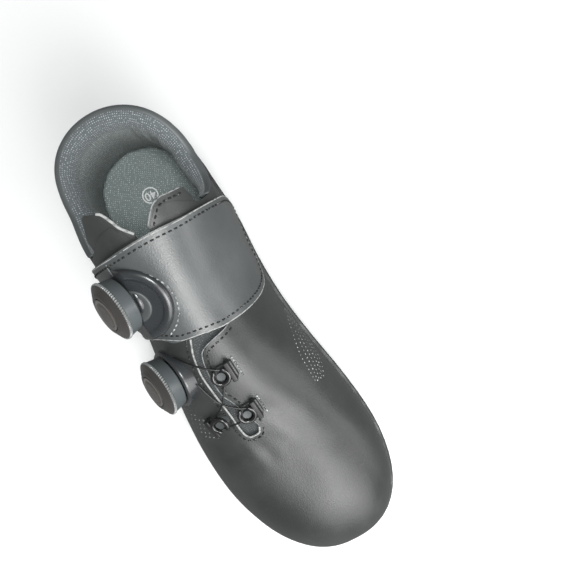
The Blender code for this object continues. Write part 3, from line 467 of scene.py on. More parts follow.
# fine pebbled grain, as a height
def makeGrain():
    group, given, sink = nodeGroup("grain", {"Scale": 900.0, "Soft": 0.6}, ("Height",))
    spot = addNode(group, "TexCoord").outputs["Object"]
    cells = addNode(group, "TexVoronoi", {"Vector": spot, "Scale": given["Scale"]},
                    feature="DISTANCE_TO_EDGE")
    wide = mathNode(group, "MULTIPLY", given["Scale"], 0.45)
    noise = addNode(group, "TexNoise", {"Vector": spot, "Detail": 3.0, "Scale": wide})
    edge = mathNode(group, "MULTIPLY", cells.outputs["Distance"], 3.0)
    part = mathNode(group, "MULTIPLY", noise.outputs["Fac"], given["Soft"])
    edge = mathNode(group, "MINIMUM", edge, 1.0)
    feed(group, sink, {"Height": mathNode(group, "ADD", edge, part)})
    return group


# plain weave from the UV map, which is in metres: height and a mask of light flecks
def makeWeave():
    group, given, sink = nodeGroup("weave", {"Pitch": 0.0011, "Fleck": 0.35}, ("Height", "Flecks"))
    uv = addNode(group, "UVMap", uv_map="cloth").outputs["UV"]
    split = addNode(group, "SeparateXYZ", {0: uv}).outputs
    turns = mathNode(group, "DIVIDE", math.pi, given["Pitch"])
    u, v = (mathNode(group, "SINE", mathNode(group, "MULTIPLY", split[axis], turns))
            for axis in "XY")
    height = mathNode(group, "ABSOLUTE", mathNode(group, "MULTIPLY", u, v))
    cells = addNode(group, "TexNoise", {"Vector": uv, "Detail": 1.0, "Scale": 800.0})
    bright = mathNode(group, "MULTIPLY", cells.outputs["Fac"], height)
    feed(group, sink, {"Height": height,
                       "Flecks": mathNode(group, "GREATER_THAN", bright, given["Fleck"])})
    return group


# broad uneven dulling, as left by handling and dust
def makeDulling():
    group, given, sink = nodeGroup("dulling", {"Scale": 22.0, "Low": 0.4, "High": 0.6}, ("Mask",))
    spot = addNode(group, "TexCoord").outputs["Object"]
    noise = addNode(group, "TexNoise", {"Vector": spot, "Scale": given["Scale"], "Detail": 6.0,
                                        "Roughness": 0.62})
    span = addNode(group, "MapRange", {"Value": noise.outputs["Fac"], "From Min": given["Low"],
                                       "From Max": given["High"]})
    feed(group, sink, {"Mask": span.outputs["Result"]})
    return group


grainGroup, weaveGroup, dullGroup = makeGrain(), makeWeave(), makeDulling()


def dulling(tree, scale, low, high):
    return addNode(tree, "Group", {"Scale": scale, "Low": low, "High": high},
                   node_tree=dullGroup).outputs["Mask"]


def mixColour(tree, mask, a, b):
    return addNode(tree, "Mix", {"Factor": mask, "A": (*a, 1), "B": (*b, 1)},
                   data_type="RGBA").outputs["Result"]


def mixValue(tree, mask, a, b):
    return addNode(tree, "MapRange", {"Value": mask, "To Min": a, "To Max": b}).outputs["Result"]


def bumpFrom(tree, height, distance, strength):
    return addNode(tree, "Bump", {"Distance": distance, "Strength": strength,
                                  "Height": height}).outputs["Normal"]


def material(name, colour, roughness):
    mat = bpy.data.materials.new(name)
    mat.use_nodes = True
    shader = mat.node_tree.nodes["Principled BSDF"]
    feed(mat.node_tree, shader, {"Base Color": (*colour, 1), "Roughness": roughness})
    return mat, mat.node_tree, shader


def makeLeather(name, colour, worn, rough, roughWorn, gloss=0.85):
    mat, tree, shader = material(name, colour, rough)
    pebble = addNode(tree, "Group", {"Scale": 850.0, "Soft": 0.7}, node_tree=grainGroup)
    mask = dulling(tree, 26.0, 0.38, 0.68)
    feed(tree, shader, {"Specular IOR Level": gloss,
                        "Base Color": mixColour(tree, mask, colour, worn),
                        "Roughness": mixValue(tree, mask, rough, roughWorn),
                        "Normal": bumpFrom(tree, pebble.outputs["Height"], 0.00006, 0.55)})
    return mat


def makeCloth(name, colour, fleck, pitch, share, depth=0.00035):
    mat, tree, shader = material(name, colour, 0.92)
    weave = addNode(tree, "Group", {"Pitch": pitch, "Fleck": share}, node_tree=weaveGroup).outputs
    feed(tree, shader, {"Sheen Weight": 0.25,
                        "Base Color": mixColour(tree, weave["Flecks"], colour, fleck),
                        "Normal": bumpFrom(tree, weave["Height"], depth, 0.9)})
    return mat


def makePlastic(name, colour, rough, worn, coat=0.0):
    mat, tree, shader = material(name, colour, rough)
    mask = dulling(tree, 90.0, 0.42, 0.62)
    feed(tree, shader, {"Specular IOR Level": 0.8, "Coat Weight": coat,
                        "Roughness": mixValue(tree, mask, rough, worn)})
    return mat


# fibres of a cut edge or a thread: two tones along it; on the dark stitch thread the light tone is
# painted glint
def makeEdge(name, dark, light, share=0.45, scale=420.0):
    mat, tree, shader = material(name, light, 0.7)
    mask = dulling(tree, scale, share - 0.08, share + 0.08)
    feed(tree, shader, {"Base Color": mixColour(tree, mask, dark, light)})
    return mat


leather = makeLeather("black leather", (0.031, 0.033, 0.033), (0.047, 0.049, 0.048), 0.34, 0.45,
                      gloss=0.74)
heelLeather = makeLeather("heel leather", (0.030, 0.033, 0.034), (0.042, 0.045, 0.046), 0.44, 0.54)
# the strap's leather is a lighter copy of the black leather: its raised base colour is partly a
# painted highlight over the leather's own tone
strapLeatherPaintedSheen = makeLeather("strap leather", (0.068, 0.074, 0.075), (0.095, 0.102, 0.103), 0.30,
                           0.40, gloss=1.0)
lining = makeCloth("collar mesh", (0.125, 0.143, 0.147), (0.40, 0.43, 0.46), 0.0012, 0.42)
stripLeather = makeLeather("collar leather", (0.075, 0.084, 0.086), (0.095, 0.104, 0.106), 0.42,
                           0.52)
innerLining = makeCloth("inner lining", (0.17, 0.205, 0.20), (0.70, 0.76, 0.75), 0.0012, 0.46)
insoleCloth = makeCloth("insole mesh", (0.30, 0.35, 0.345), (0.80, 0.85, 0.83), 0.0012, 0.46)
webbing = makeCloth("tongue webbing", (0.060, 0.066, 0.067), (0.17, 0.18, 0.18), 0.0011, 0.50,
                    0.0004)
rawEdge = makeEdge("raw edge", (0.17, 0.175, 0.17), (0.40, 0.41, 0.40))
thinEdge = makeEdge("thin edge", (0.10, 0.105, 0.105), (0.27, 0.28, 0.28))
# the stitch thread is dark; its rare light spots are painted glints
thread = makeEdge("stitch thread", (0.012, 0.013, 0.013), (0.26, 0.27, 0.27), 0.62, 700.0)
lightThread = makeEdge("light thread", (0.05, 0.052, 0.052), (0.50, 0.52, 0.52), 0.5, 700.0)
# pinholes as light discs: partly the lining seen through each hole, partly painted glint at its rim
pinholeLiningAndGlint = makeEdge("pinhole", (0.14, 0.145, 0.145), (0.58, 0.59, 0.59), 0.5, 600.0)
skirtPlastic = makePlastic("knob skirt", (0.085, 0.098, 0.101), 0.36, 0.50)
# the knurl band is a lighter copy of the knob plastic: painted glints on the teeth
knurlPaintedGlint = makePlastic("knurl", (0.22, 0.23, 0.23), 0.18, 0.28, 0.3)
knobPlastic = makePlastic("knob plastic", (0.048, 0.044, 0.041), 0.30, 0.46, 0.2)
facePlastic = makePlastic("dial face", (0.080, 0.073, 0.067), 0.30, 0.44, 0.2)
badgeRing = makePlastic("badge ring", (0.16, 0.15, 0.14), 0.34, 0.5)
dishPlastic = makePlastic("dish plastic", (0.030, 0.033, 0.036), 0.25, 0.30, 0.3)
capPlastic = makePlastic("moulding middle", (0.060, 0.066, 0.068), 0.40, 0.52)
ringPlastic = makePlastic("guide ring", (0.012, 0.012, 0.013), 0.20, 0.30, 0.3)
blockPlastic = makePlastic("guide block", (0.012, 0.012, 0.013), 0.42, 0.55)
platePlastic = makePlastic("sole plate", (0.022, 0.022, 0.024), 0.42, 0.58)
treadRubber = makePlastic("tread rubber", (0.020, 0.020, 0.020), 0.72, 0.86)
wireCoat = material("wire coating", (0.012, 0.012, 0.013), 0.38)[0]
ink = material("size print", (0.95, 0.95, 0.95), 0.6)[0]
print("materials made")


def place(name, mesh, mats, stands=(), smooth=38):
    mesh.transform(shift)
    kinds = [min(face.material_index, len(mats) - 1) for face in mesh.polygons]
    mesh.materials.clear()
    for mat in mats:
        mesh.materials.append(mat)
    mesh.polygons.foreach_set("material_index", kinds)
    mesh.shade_smooth()
    mesh.set_sharp_from_angle(angle=math.radians(smooth))
    obj = newObject(name, mesh)
    if stands:
        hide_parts(*stands)
    return obj


# UV in metres, laid on each face from its dominant side and turned
def boxUv(mesh, degrees=0.0):
    c, s = (turn(math.radians(degrees)) for turn in (math.cos, math.sin))
    layer = mesh.uv_layers.get("cloth") or mesh.uv_layers.new(name="cloth")
    for face in mesh.polygons:
        n = [abs(part) for part in face.normal]
        a, b = ((1, 2), (0, 2), (0, 1))[n.index(max(n))]
        for loop in face.loop_indices:
            co = mesh.vertices[mesh.loops[loop].vertex_index].co
            layer.data[loop].uv = (co[a] * c - co[b] * s, co[a] * s + co[b] * c)


# a piece cut from a shell of the last by one or more tools
def skin(name, outside, inside, tools, mats, stands=(), how="INTERSECT", woven=True):
    mesh = shell(name, outside, inside)
    for tool in tools:
        mesh = carve(mesh, tool, how)
    if woven:
        boxUv(mesh)
    place(name, mesh, mats, stands)


# upper
gap, wall = sizes["gap"], sizes["wall"]
cutHeight = 0.18  # above everything, for the cutters
opening = {
    "climb": 0.024, "stop": 0.250,
    "outerFlap": ((0.247, 0.76), (0.243, 0.86), (0.236, 0.94), (0.234, 1.10)),
    "innerFlap": ((0.249, 0.78), (0.246, 0.86), (0.240, 0.95), (0.238, 1.10)),
    "rise": ((0.0, 0.0), (0.62, 0.0), (0.80, 0.20), (0.92, 0.56), (1.0, 1.0)),
}


def collarHeight(station):
    share = station / opening["stop"]
    return float(topline(station)) + opening["climb"] * float(smoothTable(opening["rise"], share))


def openingOutline(flap):
    line = [(-0.1 * length, float(topline(0.0)))]
    line += [(s * length, collarHeight(s)) for s in np.linspace(0.004, 0.2388, 40)]
    line += easedLine([line[-1]] + [flank(s, level) for s, level in flap], 17)
    return line + [(line[-1][0], cutHeight), (-0.1 * length, cutHeight)]


throatSpan = (0.045, 0.22)
throatRows = ((0.205, -0.150), (0.240, -0.085), (0.262, -0.045), (0.280, -0.025), (0.410, -0.050),
              (0.462, -0.066), (0.494, -0.101), (0.530, -0.120), (0.573, -0.115), (0.625, -0.1045),
              (0.664, -0.102), (0.682, -0.090), (0.687, -0.060), (0.683, -0.015), (0.669, 0.001),
              (0.640, -0.022), (0.6055, -0.0525), (0.582, -0.080), (0.545, -0.083), (0.506, -0.065),
              (0.489, -0.027), (0.476, 0.100), (0.466, 0.150), (0.445, 0.160), (0.410, 0.080),
              (0.280, 0.045), (0.258, 0.085), (0.240, 0.140), (0.205, 0.190))
skin("upper skin", 0.0, -wall, (
    sideTool(openingOutline(opening["outerFlap"]), openingOutline(opening["innerFlap"]), 0.012),
    planTool(soften(planPoints(throatRows), 2), *throatSpan)),
    (leather, innerLining), ("upper",), "DIFFERENCE")
print("upper done")

# heel counter
counter = {"thick": 0.0012, "outer": 0.150, "inner": 0.115, "below": 0.0022, "above": 0.0012}


def counterOutline(reach):
    low, side, back = float(feather(0.0)), sizes["collarSide"], -0.06
    line = []
    for t in np.linspace(0, 1, 21):
        station = back + (reach - back) * t
        line.append((station * length, float(topline(max(station, 0))) - counter["below"]))
    bottom = low + counter["above"]
    edge = ((reach * length, line[-1][1]), (reach * length * 1.06, 0.75 * side),
            (reach * length * 1.25, low + 0.35 * (side - low)), (reach * length * 1.35, bottom))
    return line + easedLine(edge, 13) + [(back * length, bottom)]


skin("heel counter skin", gap + counter["thick"], gap,
     (sideTool(counterOutline(counter["outer"]), counterOutline(counter["inner"])),),
     (heelLeather, heelLeather), ("heel_counter",), woven=False)

# strap
strap = {
    "thick": 0.0024, "edge": 0.00040, "edgeDown": 0.0003, "inset": 0.0026, "step": 0.0016,
    "outer": ((0.276, 1.30), (0.276, 1.00), (0.268, 0.85), (0.258, 0.66), (0.256, 0.52),
              (0.272, 0.42), (0.315, 0.37), (0.360, 0.39), (0.395, 0.48), (0.415, 0.64),
              (0.426, 0.82), (0.440, 0.93), (0.462, 1.00), (0.470, 1.30)),
    "inner": ((0.276, 1.30), (0.276, 1.00), (0.264, 0.86), (0.252, 0.68), (0.240, 0.50),
              (0.245, 0.32), (0.275, 0.26), (0.340, 0.26), (0.390, 0.30), (0.418, 0.40),
              (0.440, 0.58), (0.458, 0.80), (0.468, 1.00), (0.470, 1.30)),
}
strapOuter = soften([flank(*row) for row in strap["outer"]])
strapInner = soften([flank(*row) for row in strap["inner"]])
# the strap carries a painted highlight in its lighter base colour
skin("strap skin", gap + strap["thick"], gap, (sideTool(strapOuter, strapInner),),
     (strapLeatherPaintedSheen, lining), ("strap",))

# tongue
tongueRows = ((0.315, -0.150), (0.480, -0.190), (0.600, -0.215), (0.690, -0.190), (0.715, -0.090),
              (0.700, 0.030), (0.620, 0.075), (0.500, 0.190), (0.430, 0.215), (0.315, 0.150))
tongueTop, tongueThick = -(wall + gap), 0.002
skin("tongue skin", tongueTop, tongueTop - tongueThick,
     (planTool(soften(planPoints(tongueRows), 2), *throatSpan),), (webbing, webbing),
     ("tongue",))
print("overlays and tongue done")

# collar: a padded roll of mesh round the opening
bed = {"thick": 0.004, "rim": 0.002, "inside": 0.0028}
pad = {"thick": 0.0085, "proud": 0.0017, "lift": 0.0046, "depth": 0.032, "edge": 0.0007,
       "clear": 0.004, "puffed": 0.004, "ends": 0.45}


def ribAt(side, station):
    theta = math.acos(1 - 2 * max(station, 0.0))
    tau = np.linspace(0, 1, 60)
    line = last(side, np.full(60, theta), tau)
    k = theta / math.pi * grid.ribs
    row = min(int(k), grid.ribs - 1)
    share = k - row
    pick = (lambda i: i) if side < 0 else (lambda i: (2 * grid.ribs - i) % (2 * grid.ribs))
    field = grid.out[pick(row)] * (1 - share) + grid.out[pick(row + 1)] * share
    levels = np.arange(grid.levels + 1) / grid.levels
    out = np.stack([np.interp(tau, levels, field[:, i]) for i in range(3)], 1)
    return line, out


def ribPoint(side, station, height, depth):
    line, out = ribAt(side, station)
    rib = line - out * depth
    return (*(np.interp(height, rib[:, 2], rib[:, i]) for i in (0, 1)), height)


# section of the roll: height over the opening's edge, depth into the shoe
def padSection(size):
    lift, proud, thick, deep = (pad[key] for key in ("lift", "proud", "thick", "depth"))
    back, edge = wall + gap + 0.0001, pad["edge"]
    ring = [(share * deep, back) for share in (-1.0, -0.66, -0.33, -0.02)]
    ring += [(edge, back), (edge, -0.30 * proud), (edge + 0.10 * lift, -0.80 * proud),
             (edge + 0.28 * lift, -1.00 * proud), (0.62 * lift, -0.85 * proud),
             (0.84 * lift, -0.10 * proud)]
    ring += [(up * lift, into * thick) for up, into in (
        (0.90, 0.15), (0.86, 0.20), (0.96, 0.26), (1.02, 0.46), (0.90, 0.76), (0.50, 1.04),
        (-0.35, 1.20))]
    ring += [(down * deep, into * thick) for down, into in (
        (-0.18, 1.24), (-0.36, 1.18), (-0.56, 1.06), (-0.78, 0.94), (-1.0, 0.86))]
    out = []
    for up, into in ring:
        if up > edge:
            up = edge + (up - edge) * size
        if into > back:
            into = back + (into - back) * size
        if into < 0:
            into *= size
        out.append((up, into))
    return out


def collarStations():
    end = (1 - math.cos(math.pi * 13 / 40)) / 2
    stations = end * np.linspace(0.0, 1.0, 56) ** 1.6
    return [(-1, s) for s in stations[::-1]] + [(1, s) for s in stations[1:]]


collarPlaces = collarStations()
points = []
count, rows = len(padSection(1.0)), len(collarPlaces)
for i, (side, station) in enumerate(collarPlaces):
    near = min(i, rows - 1 - i) / (rows - 1) * 25
    size = pad["ends"] + (1 - pad["ends"]) * float(smoothStep(near / 2.6))
    height = collarHeight(station)
    puff = 1.0 + 0.03 * math.sin(i * 0.55) + 0.02 * math.sin(i * 1.3 + 1)
    down = (height - float(feather(station)) - bed["thick"] - pad["clear"]) / pad["depth"]
    for lift, depth in padSection(size):
        if depth > pad["puffed"]:
            depth *= puff
        if lift < 0:
            lift *= down
        points.append(ribPoint(side, station, height + lift, depth))
collarMesh = rawMesh("collar roll", [tuple(map(float, p)) for p in points],
                     ringFaces(rows, count))
layer = collarMesh.uv_layers.new(name="cloth")
spine = np.array(points).reshape(rows, count, 3)
along = np.concatenate([[0], np.cumsum(np.linalg.norm(np.diff(spine[:, 11], axis=0), axis=1))])
around = np.concatenate([[0], np.cumsum(np.linalg.norm(np.diff(spine[56], axis=0), axis=1))])
for k, face in enumerate(collarMesh.polygons):
    if len(face.vertices) > 4:
        continue
    # a leather strip over the rim, open mesh below it, then the inner lining
    face.material_index = 1 if 3 < k % count < 11 else (2 if k % count > 15 else 0)
    cols = [v % count for v in face.vertices]
    wrap = max(cols) - min(cols) > 1
    for loop, v, c in zip(face.loop_indices, face.vertices, cols):
        across = around[-1] + 0.01 if wrap and c == 0 else around[c]
        layer.data[loop].uv = (along[v // count], across)
facesOut(collarMesh)
roll = place("collar roll", collarMesh, (lining, stripLeather, innerLining),
             ("collar_lining",), 70)
sub = roll.modifiers.new("soft", "SUBSURF")
sub.levels = sub.render_levels = 1
print("collar roll done")

# insole
def bedRing(depth, lift, share=1.0):
    ring = []
    for k in range(2 * grid.ribs):
        rib = grid.points[k] - grid.out[k] * depth
        base = grid.points[k, 0, 2]
        height = max(base + lift, rib[0, 2])
        x, y = (np.interp(height, rib[:, 2], rib[:, i]) for i in (0, 1))
        mid = float(column("swing", x / length)) * ball
        ring.append((x, mid + (y - mid) * share, base + lift))
    return ring


top, rim, inside = bed["thick"], bed["rim"], bed["inside"]
rings = [bedRing(inside + step, lift) for step, lift in (
    (0, 0.0002), (0, top + rim * 0.7), (0.0005, top + rim), (0.0016, top + rim * 0.95),
    (0.0040, top + rim * 0.35), (0.0065, top))]
rings += [bedRing(inside + 0.0065, top, share) for share in (0.85, 0.68, 0.5, 0.32, 0.15)]
n = 2 * grid.ribs
points = [p for ring in rings for p in ring]
faces = ringFaces(len(rings), n, capped=False)
faces += spanFaces(list(range(n))) + spanFaces([(len(rings) - 1) * n + k for k in range(n)])
insoleMesh = solid("insole bed", points, faces)
boxUv(insoleMesh, 34)
place("insole bed", insoleMesh, (insoleCloth,), ("insole",), 50)

# plain size number in a ring, printed on the heel of the insole
sizeMark = {"text": "40", "height": 0.0070, "bold": 0.00010, "station": 0.1242, "across": -0.0009,
            "ring": 0.0050, "line": 0.0008, "turn": -90.0, "over": 0.00025}
station = sizeMark["station"]
markPlace = (station * length, float(column("swing", station)) * ball + sizeMark["across"],
             float(feather(station)) + bed["thick"] + sizeMark["over"])
tiltY = math.atan2(float(feather(station - 0.03) - feather(station + 0.03)), 0.06 * length)
markAt = (shift @ Matrix.Translation(markPlace) @ Matrix.Rotation(tiltY, 4, "Y")
          @ Matrix.Rotation(math.radians(sizeMark["turn"]), 4, "Z"))


def printed(name, mesh):
    mesh.transform(markAt)
    mesh.materials.clear()
    mesh.materials.append(ink)
    newObject(name, mesh)


points = [(r * math.cos(2 * math.pi * i / 48), r * math.sin(2 * math.pi * i / 48), 0)
          for i in range(48) for r in (sizeMark["ring"], sizeMark["ring"] - sizeMark["line"])]
faces = [(2 * i, 2 * j, 2 * j + 1, 2 * i + 1) for i, j in zip(range(48), [*range(1, 48), 0])]
printed("size ring", rawMesh("size ring", points, faces))
text = bpy.data.curves.new("size number", "FONT")
text.body, text.size, text.offset = sizeMark["text"], sizeMark["height"], sizeMark["bold"]
text.align_x, text.align_y = "CENTER", "CENTER"
label = tempObject("size text", text)
textMesh = bpy.data.meshes.new_from_object(
    label.evaluated_get(bpy.context.evaluated_depsgraph_get()))
bpy.data.objects.remove(label)
printed("size number", textMesh)
print("insole done")

# outsole and treads
carried = {"outsole": platePlastic, "heel_pad": treadRubber, "lug_ball_outer": treadRubber,
           "lug_ball_inner": treadRubber, "lug_toe": treadRubber, "lower_wire": wireCoat,
           "upper_wire": wireCoat}
for node, mat in carried.items():
    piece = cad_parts[node]
    piece.data.materials.clear()
    piece.data.materials.append(mat)
    piece.data.shade_smooth()
    piece.data.set_sharp_from_angle(angle=math.radians(32))


# stitches, raw edges and pinholes
def bead(name, pairs, radius, mat):
    curve = bpy.data.curves.new(name, "CURVE")
    curve.dimensions = "3D"
    curve.bevel_depth = radius
    curve.bevel_resolution = 2
    curve.use_fill_caps = True
    spline = curve.splines.new("POLY")
    spline.points.add(len(pairs) - 1)
    for knot, (p, _) in zip(spline.points, pairs):
        knot.co = (*(p - origin), 1)
    curve.materials.append(mat)
    obj = newObject(name, curve)


def stitches(name, pairs, stitch=0.0021, pitch=0.0031, width=0.00045, mat=thread):
    marks = evenPath(pairs, pitch)
    points, faces = [], []
    for (p, n), (q, m) in zip(marks, marks[1:]):
        ahead = (q - p).normalized()
        up = (n + m).normalized()
        side = up.cross(ahead).normalized()
        centre = (p + q) / 2
        ahead = (ahead + side * random.uniform(-0.08, 0.08)).normalized()
        faces += ringFaces(5, 6, len(points))
        for t, r in ((-1.0, 0.35), (-0.72, 0.95), (0.0, 1.1), (0.72, 0.95), (1.0, 0.35)):
            for a in range(6):
                angle = math.radians(60 * a)
                high = math.sin(angle) * width * r + (0.10 if abs(t) < 1 else -0.6) * width
                points.append(tuple(centre + ahead * t * stitch / 2
                                    + side * math.cos(angle) * width * r + up * high))
    place(name, rawMesh(name, points, faces), (mat,), smooth=80)


def alongPlan(xs, ys):
    return [onPlan(float(x) * length, float(y) * ball) for x, y in zip(xs, ys)]


def planLine(rows, count):
    return alongPlan(*(eased([row[i] for row in rows], count) for i in (0, 1)))


# the strap's outline below the crown, from its back edge round to its front
def openLine(ring, side):
    low = [(x, z) for x, z in ring if z < float(crown(x / length)) - 0.0006]
    start = max(range(len(low)), key=lambda i: math.dist(low[i], low[i - 1]))
    line = [onSide(side, x, z) for x, z in low[start:] + low[:start]]
    return line if line[0][0].x < line[-1][0].x else line[::-1]


# straight across the ridge between two points of the surface
def overCrown(a, b, steps=26):
    spots = [a[0].lerp(b[0], t) for t in np.linspace(0, 1, steps)[1:-1]]
    return [onPlan(p.x, p.y) for p in spots]


outerStrap, innerStrap = openLine(strapOuter, -1), openLine(strapInner, 1)
backEdge = overCrown(innerStrap[0], outerStrap[0])
frontEdge = overCrown(outerStrap[-1], innerStrap[-1])
strapLoop = outerStrap + frontEdge + innerStrap[::-1] + backEdge
strapTop = gap + strap["thick"]
bead("strap raw edge", evenPath(lifted(strapLoop, strapTop - strap["edgeDown"]), strap["step"]),
     strap["edge"], rawEdge)
stitches("strap stitches", aside(evenPath(lifted(strapLoop, strapTop), strap["step"]),
                                 strap["inset"]))

# the end line of the strap's top layer, beside the knob
endRows = ((0.2745, 0.279, 0.287, 0.298, 0.308), (-0.207, -0.212, -0.214, -0.213, -0.206))
line = alongPlan(*(np.interp(np.linspace(0, 4, 24), range(5), row) for row in endRows))
bead("strap end edge", lifted(line, strapTop - 0.0001), 0.00030, thinEdge)
stitches("strap end stitches", aside(evenPath(lifted(line, strapTop), 0.002), 0.0020))

# two flaps of the throat that stand above the collar
flaps = {
    "outer": ((0.196, -0.200), (0.196, -0.177), (0.207, -0.120), (0.2131, -0.099),
              (0.230, -0.076), (0.2444, -0.0583), (0.2634, -0.0135), (0.295, -0.010),
              (0.295, -0.26), (0.225, -0.26)),
    "inner": ((0.2216, 0.290), (0.2216, 0.274), (0.2257, 0.226), (0.2284, 0.177), (0.2377, 0.128),
              (0.2623, 0.0646), (0.295, 0.055), (0.295, 0.30), (0.235, 0.30)),
}
for part, rows in flaps.items():
    skin(part + " flap", -0.0003, -0.0018, (planTool(planPoints(rows), 0.060, throatSpan[1]),),
         (leather, lining))
    line = planLine(rows[2:7] if part == "outer" else rows[1:6], 40)
    thick, mat = (0.0007, rawEdge) if part == "outer" else (0.0004, thinEdge)
    bead(part + " flap edge", lifted(line, -0.0006), thick, mat)
    if part == "inner":
        stitches("inner flap stitches", aside(evenPath(lifted(line, 0.0), 0.002), 0.0026))
print("flaps done")

# slit edges
slitOuter = [(0.462, -0.063), (0.478, -0.084), (0.494, -0.101), (0.530, -0.120), (0.573, -0.115),
             (0.625, -0.1045), (0.655, -0.103), (0.674, -0.096), (0.684, -0.078), (0.685, -0.050),
             (0.683, -0.018), (0.672, -0.001)]
slitInner = [*throatRows[14:22], (0.468, 0.145)]
outerSlit, innerSlit = planLine(slitOuter, 60), planLine(slitInner, 60)
bead("slit raw edge", lifted(outerSlit, -0.0001), 0.00056, rawEdge)
bead("slit inner edge", lifted(innerSlit, -0.0001), 0.00032, thinEdge)
stitches("slit outer stitches", aside(lifted(outerSlit, 0.0001), -0.0024))
stitches("slit inner stitches", aside(lifted(innerSlit, 0.0001), -0.0026))
print("edges and stitches done")


# pinholes in rows on the inner vamp, and two small groups on the outer quarter
# each pinhole is a light disc: lining seen through it plus painted glint at its rim
def pinholes(name, pairs, radius=0.00034):
    points = []
    for p, n in pairs:
        p = p + n * (float(relief(np.array(p))) + 0.00006)
        side = n.orthogonal().normalized()
        other = n.cross(side)
        for angle in (math.radians(45 * a) for a in range(8)):
            points.append(tuple(p + (side * math.cos(angle) + other * math.sin(angle)) * radius))
    faces = [tuple(range(b, b + 8)) for b in range(0, len(points), 8)]
    place(name, rawMesh(name, points, faces), (pinholeLiningAndGlint,))


# a slanted patch of pinholes in plan: its corner, then a step along a row and across
def patch(corner, step, rows, across, skew=(0.004, 0.024)):
    spots = [[corner[k] + step[k] * i + skew[k] * j for k in (0, 1)]
             for i in range(rows) for j in range(across)]
    return alongPlan(*zip(*spots))


# the inner patch, between an upper and a lower line on the side: station, height
holesTop = ((0.488, 0.034), (0.511, 0.043), (0.550, 0.053), (0.5825, 0.057), (0.624, 0.0565),
            (0.650, 0.0555))
holesLow = ((0.488, 0.026), (0.562, 0.031), (0.618, 0.041), (0.650, 0.049))
innerHoles = []
for station in np.linspace(0.490, 0.648, 20):
    high, low = float(smoothTable(holesTop, station)), float(smoothTable(holesLow, station))
    innerHoles += [onSide(1, (station + 0.003 * (j % 2)) * length, high + (low - high) * j / 5)
                   for j in range(6)]
pinholes("inner pinholes", innerHoles, 0.00046)
pinholes("outer pinholes", patch((0.545, -0.400), (0.0125, 0.010), 9, 4)
         + patch((0.430, -0.345), (0.0125, 0.004), 6, 3))

# dials, with profiles as (share of the height, inset from the radius)
dials = {
    "radius": 0.0157, "knob": 0.0095, "dish": 0.0140, "floor": 0.0036, "rim": 0.0024,
    "badge": 0.0086, "badgeDepth": 0.0008, "teeth": 72, "toothDepth": 0.00070, "skirt": 0.0020,
    "upperLift": 0.0058, "lowerLift": 0.0040, "foot": -0.007,
    "dishProfile": ((0.35, 0.0), (0.75, 0.0003), (0.95, 0.0008), (1.0, 0.0013), (0.96, 0.0019),
                    (0.70, 0.0030)),
    "knobProfile": ((0.30, 0.0010), (0.56, 0.0006), (0.57, 0.0009), (0.58, 0.0002), (0.61, 0.0),
                    (0.70, 0.0), (0.73, 0.0004), (0.76, 0.0012), (0.85, 0.0026), (0.94, 0.0045)),
    "faceProfile": ((0.0001, 0.0), (0.0003, 0.0003), (0.0004, 0.0012), (0.0001, 0.0016),
                    (0.0001, 0.0024), (0.0005, 0.0028), (0.0006, 0.0042)),
}


def seat(point, normal, tilt=0.0, spin=0.0):
    forward = Vector((1, 0, 0))
    forward = (forward - normal * forward.dot(normal)).normalized()
    normal = Matrix.Rotation(tilt, 3, forward) @ normal
    side = normal.cross(forward)
    turn = Matrix.Rotation(spin, 3, normal)
    forward, side = turn @ forward, turn @ side
    return Matrix.Translation(point) @ Matrix((forward, side, normal)).transposed().to_4x4()


# a profile turned round an axis, with teeth on some of its rows
def turned(name, rows, segments, matrix, teeth=(), depth=0.0):
    points = []
    for r, (height, radius) in enumerate(rows):
        for i in range(segments):
            angle = 2 * math.pi * i / segments
            wave = 0.5 + 0.5 * math.cos(angle * dials["teeth"])
            size = radius - (depth * wave if r in teeth else 0.0)
            points.append(tuple(matrix @ Vector((size * math.cos(angle), size * math.sin(angle),
                                                 height))))
    return solid(name, points, ringFaces(len(rows), segments))


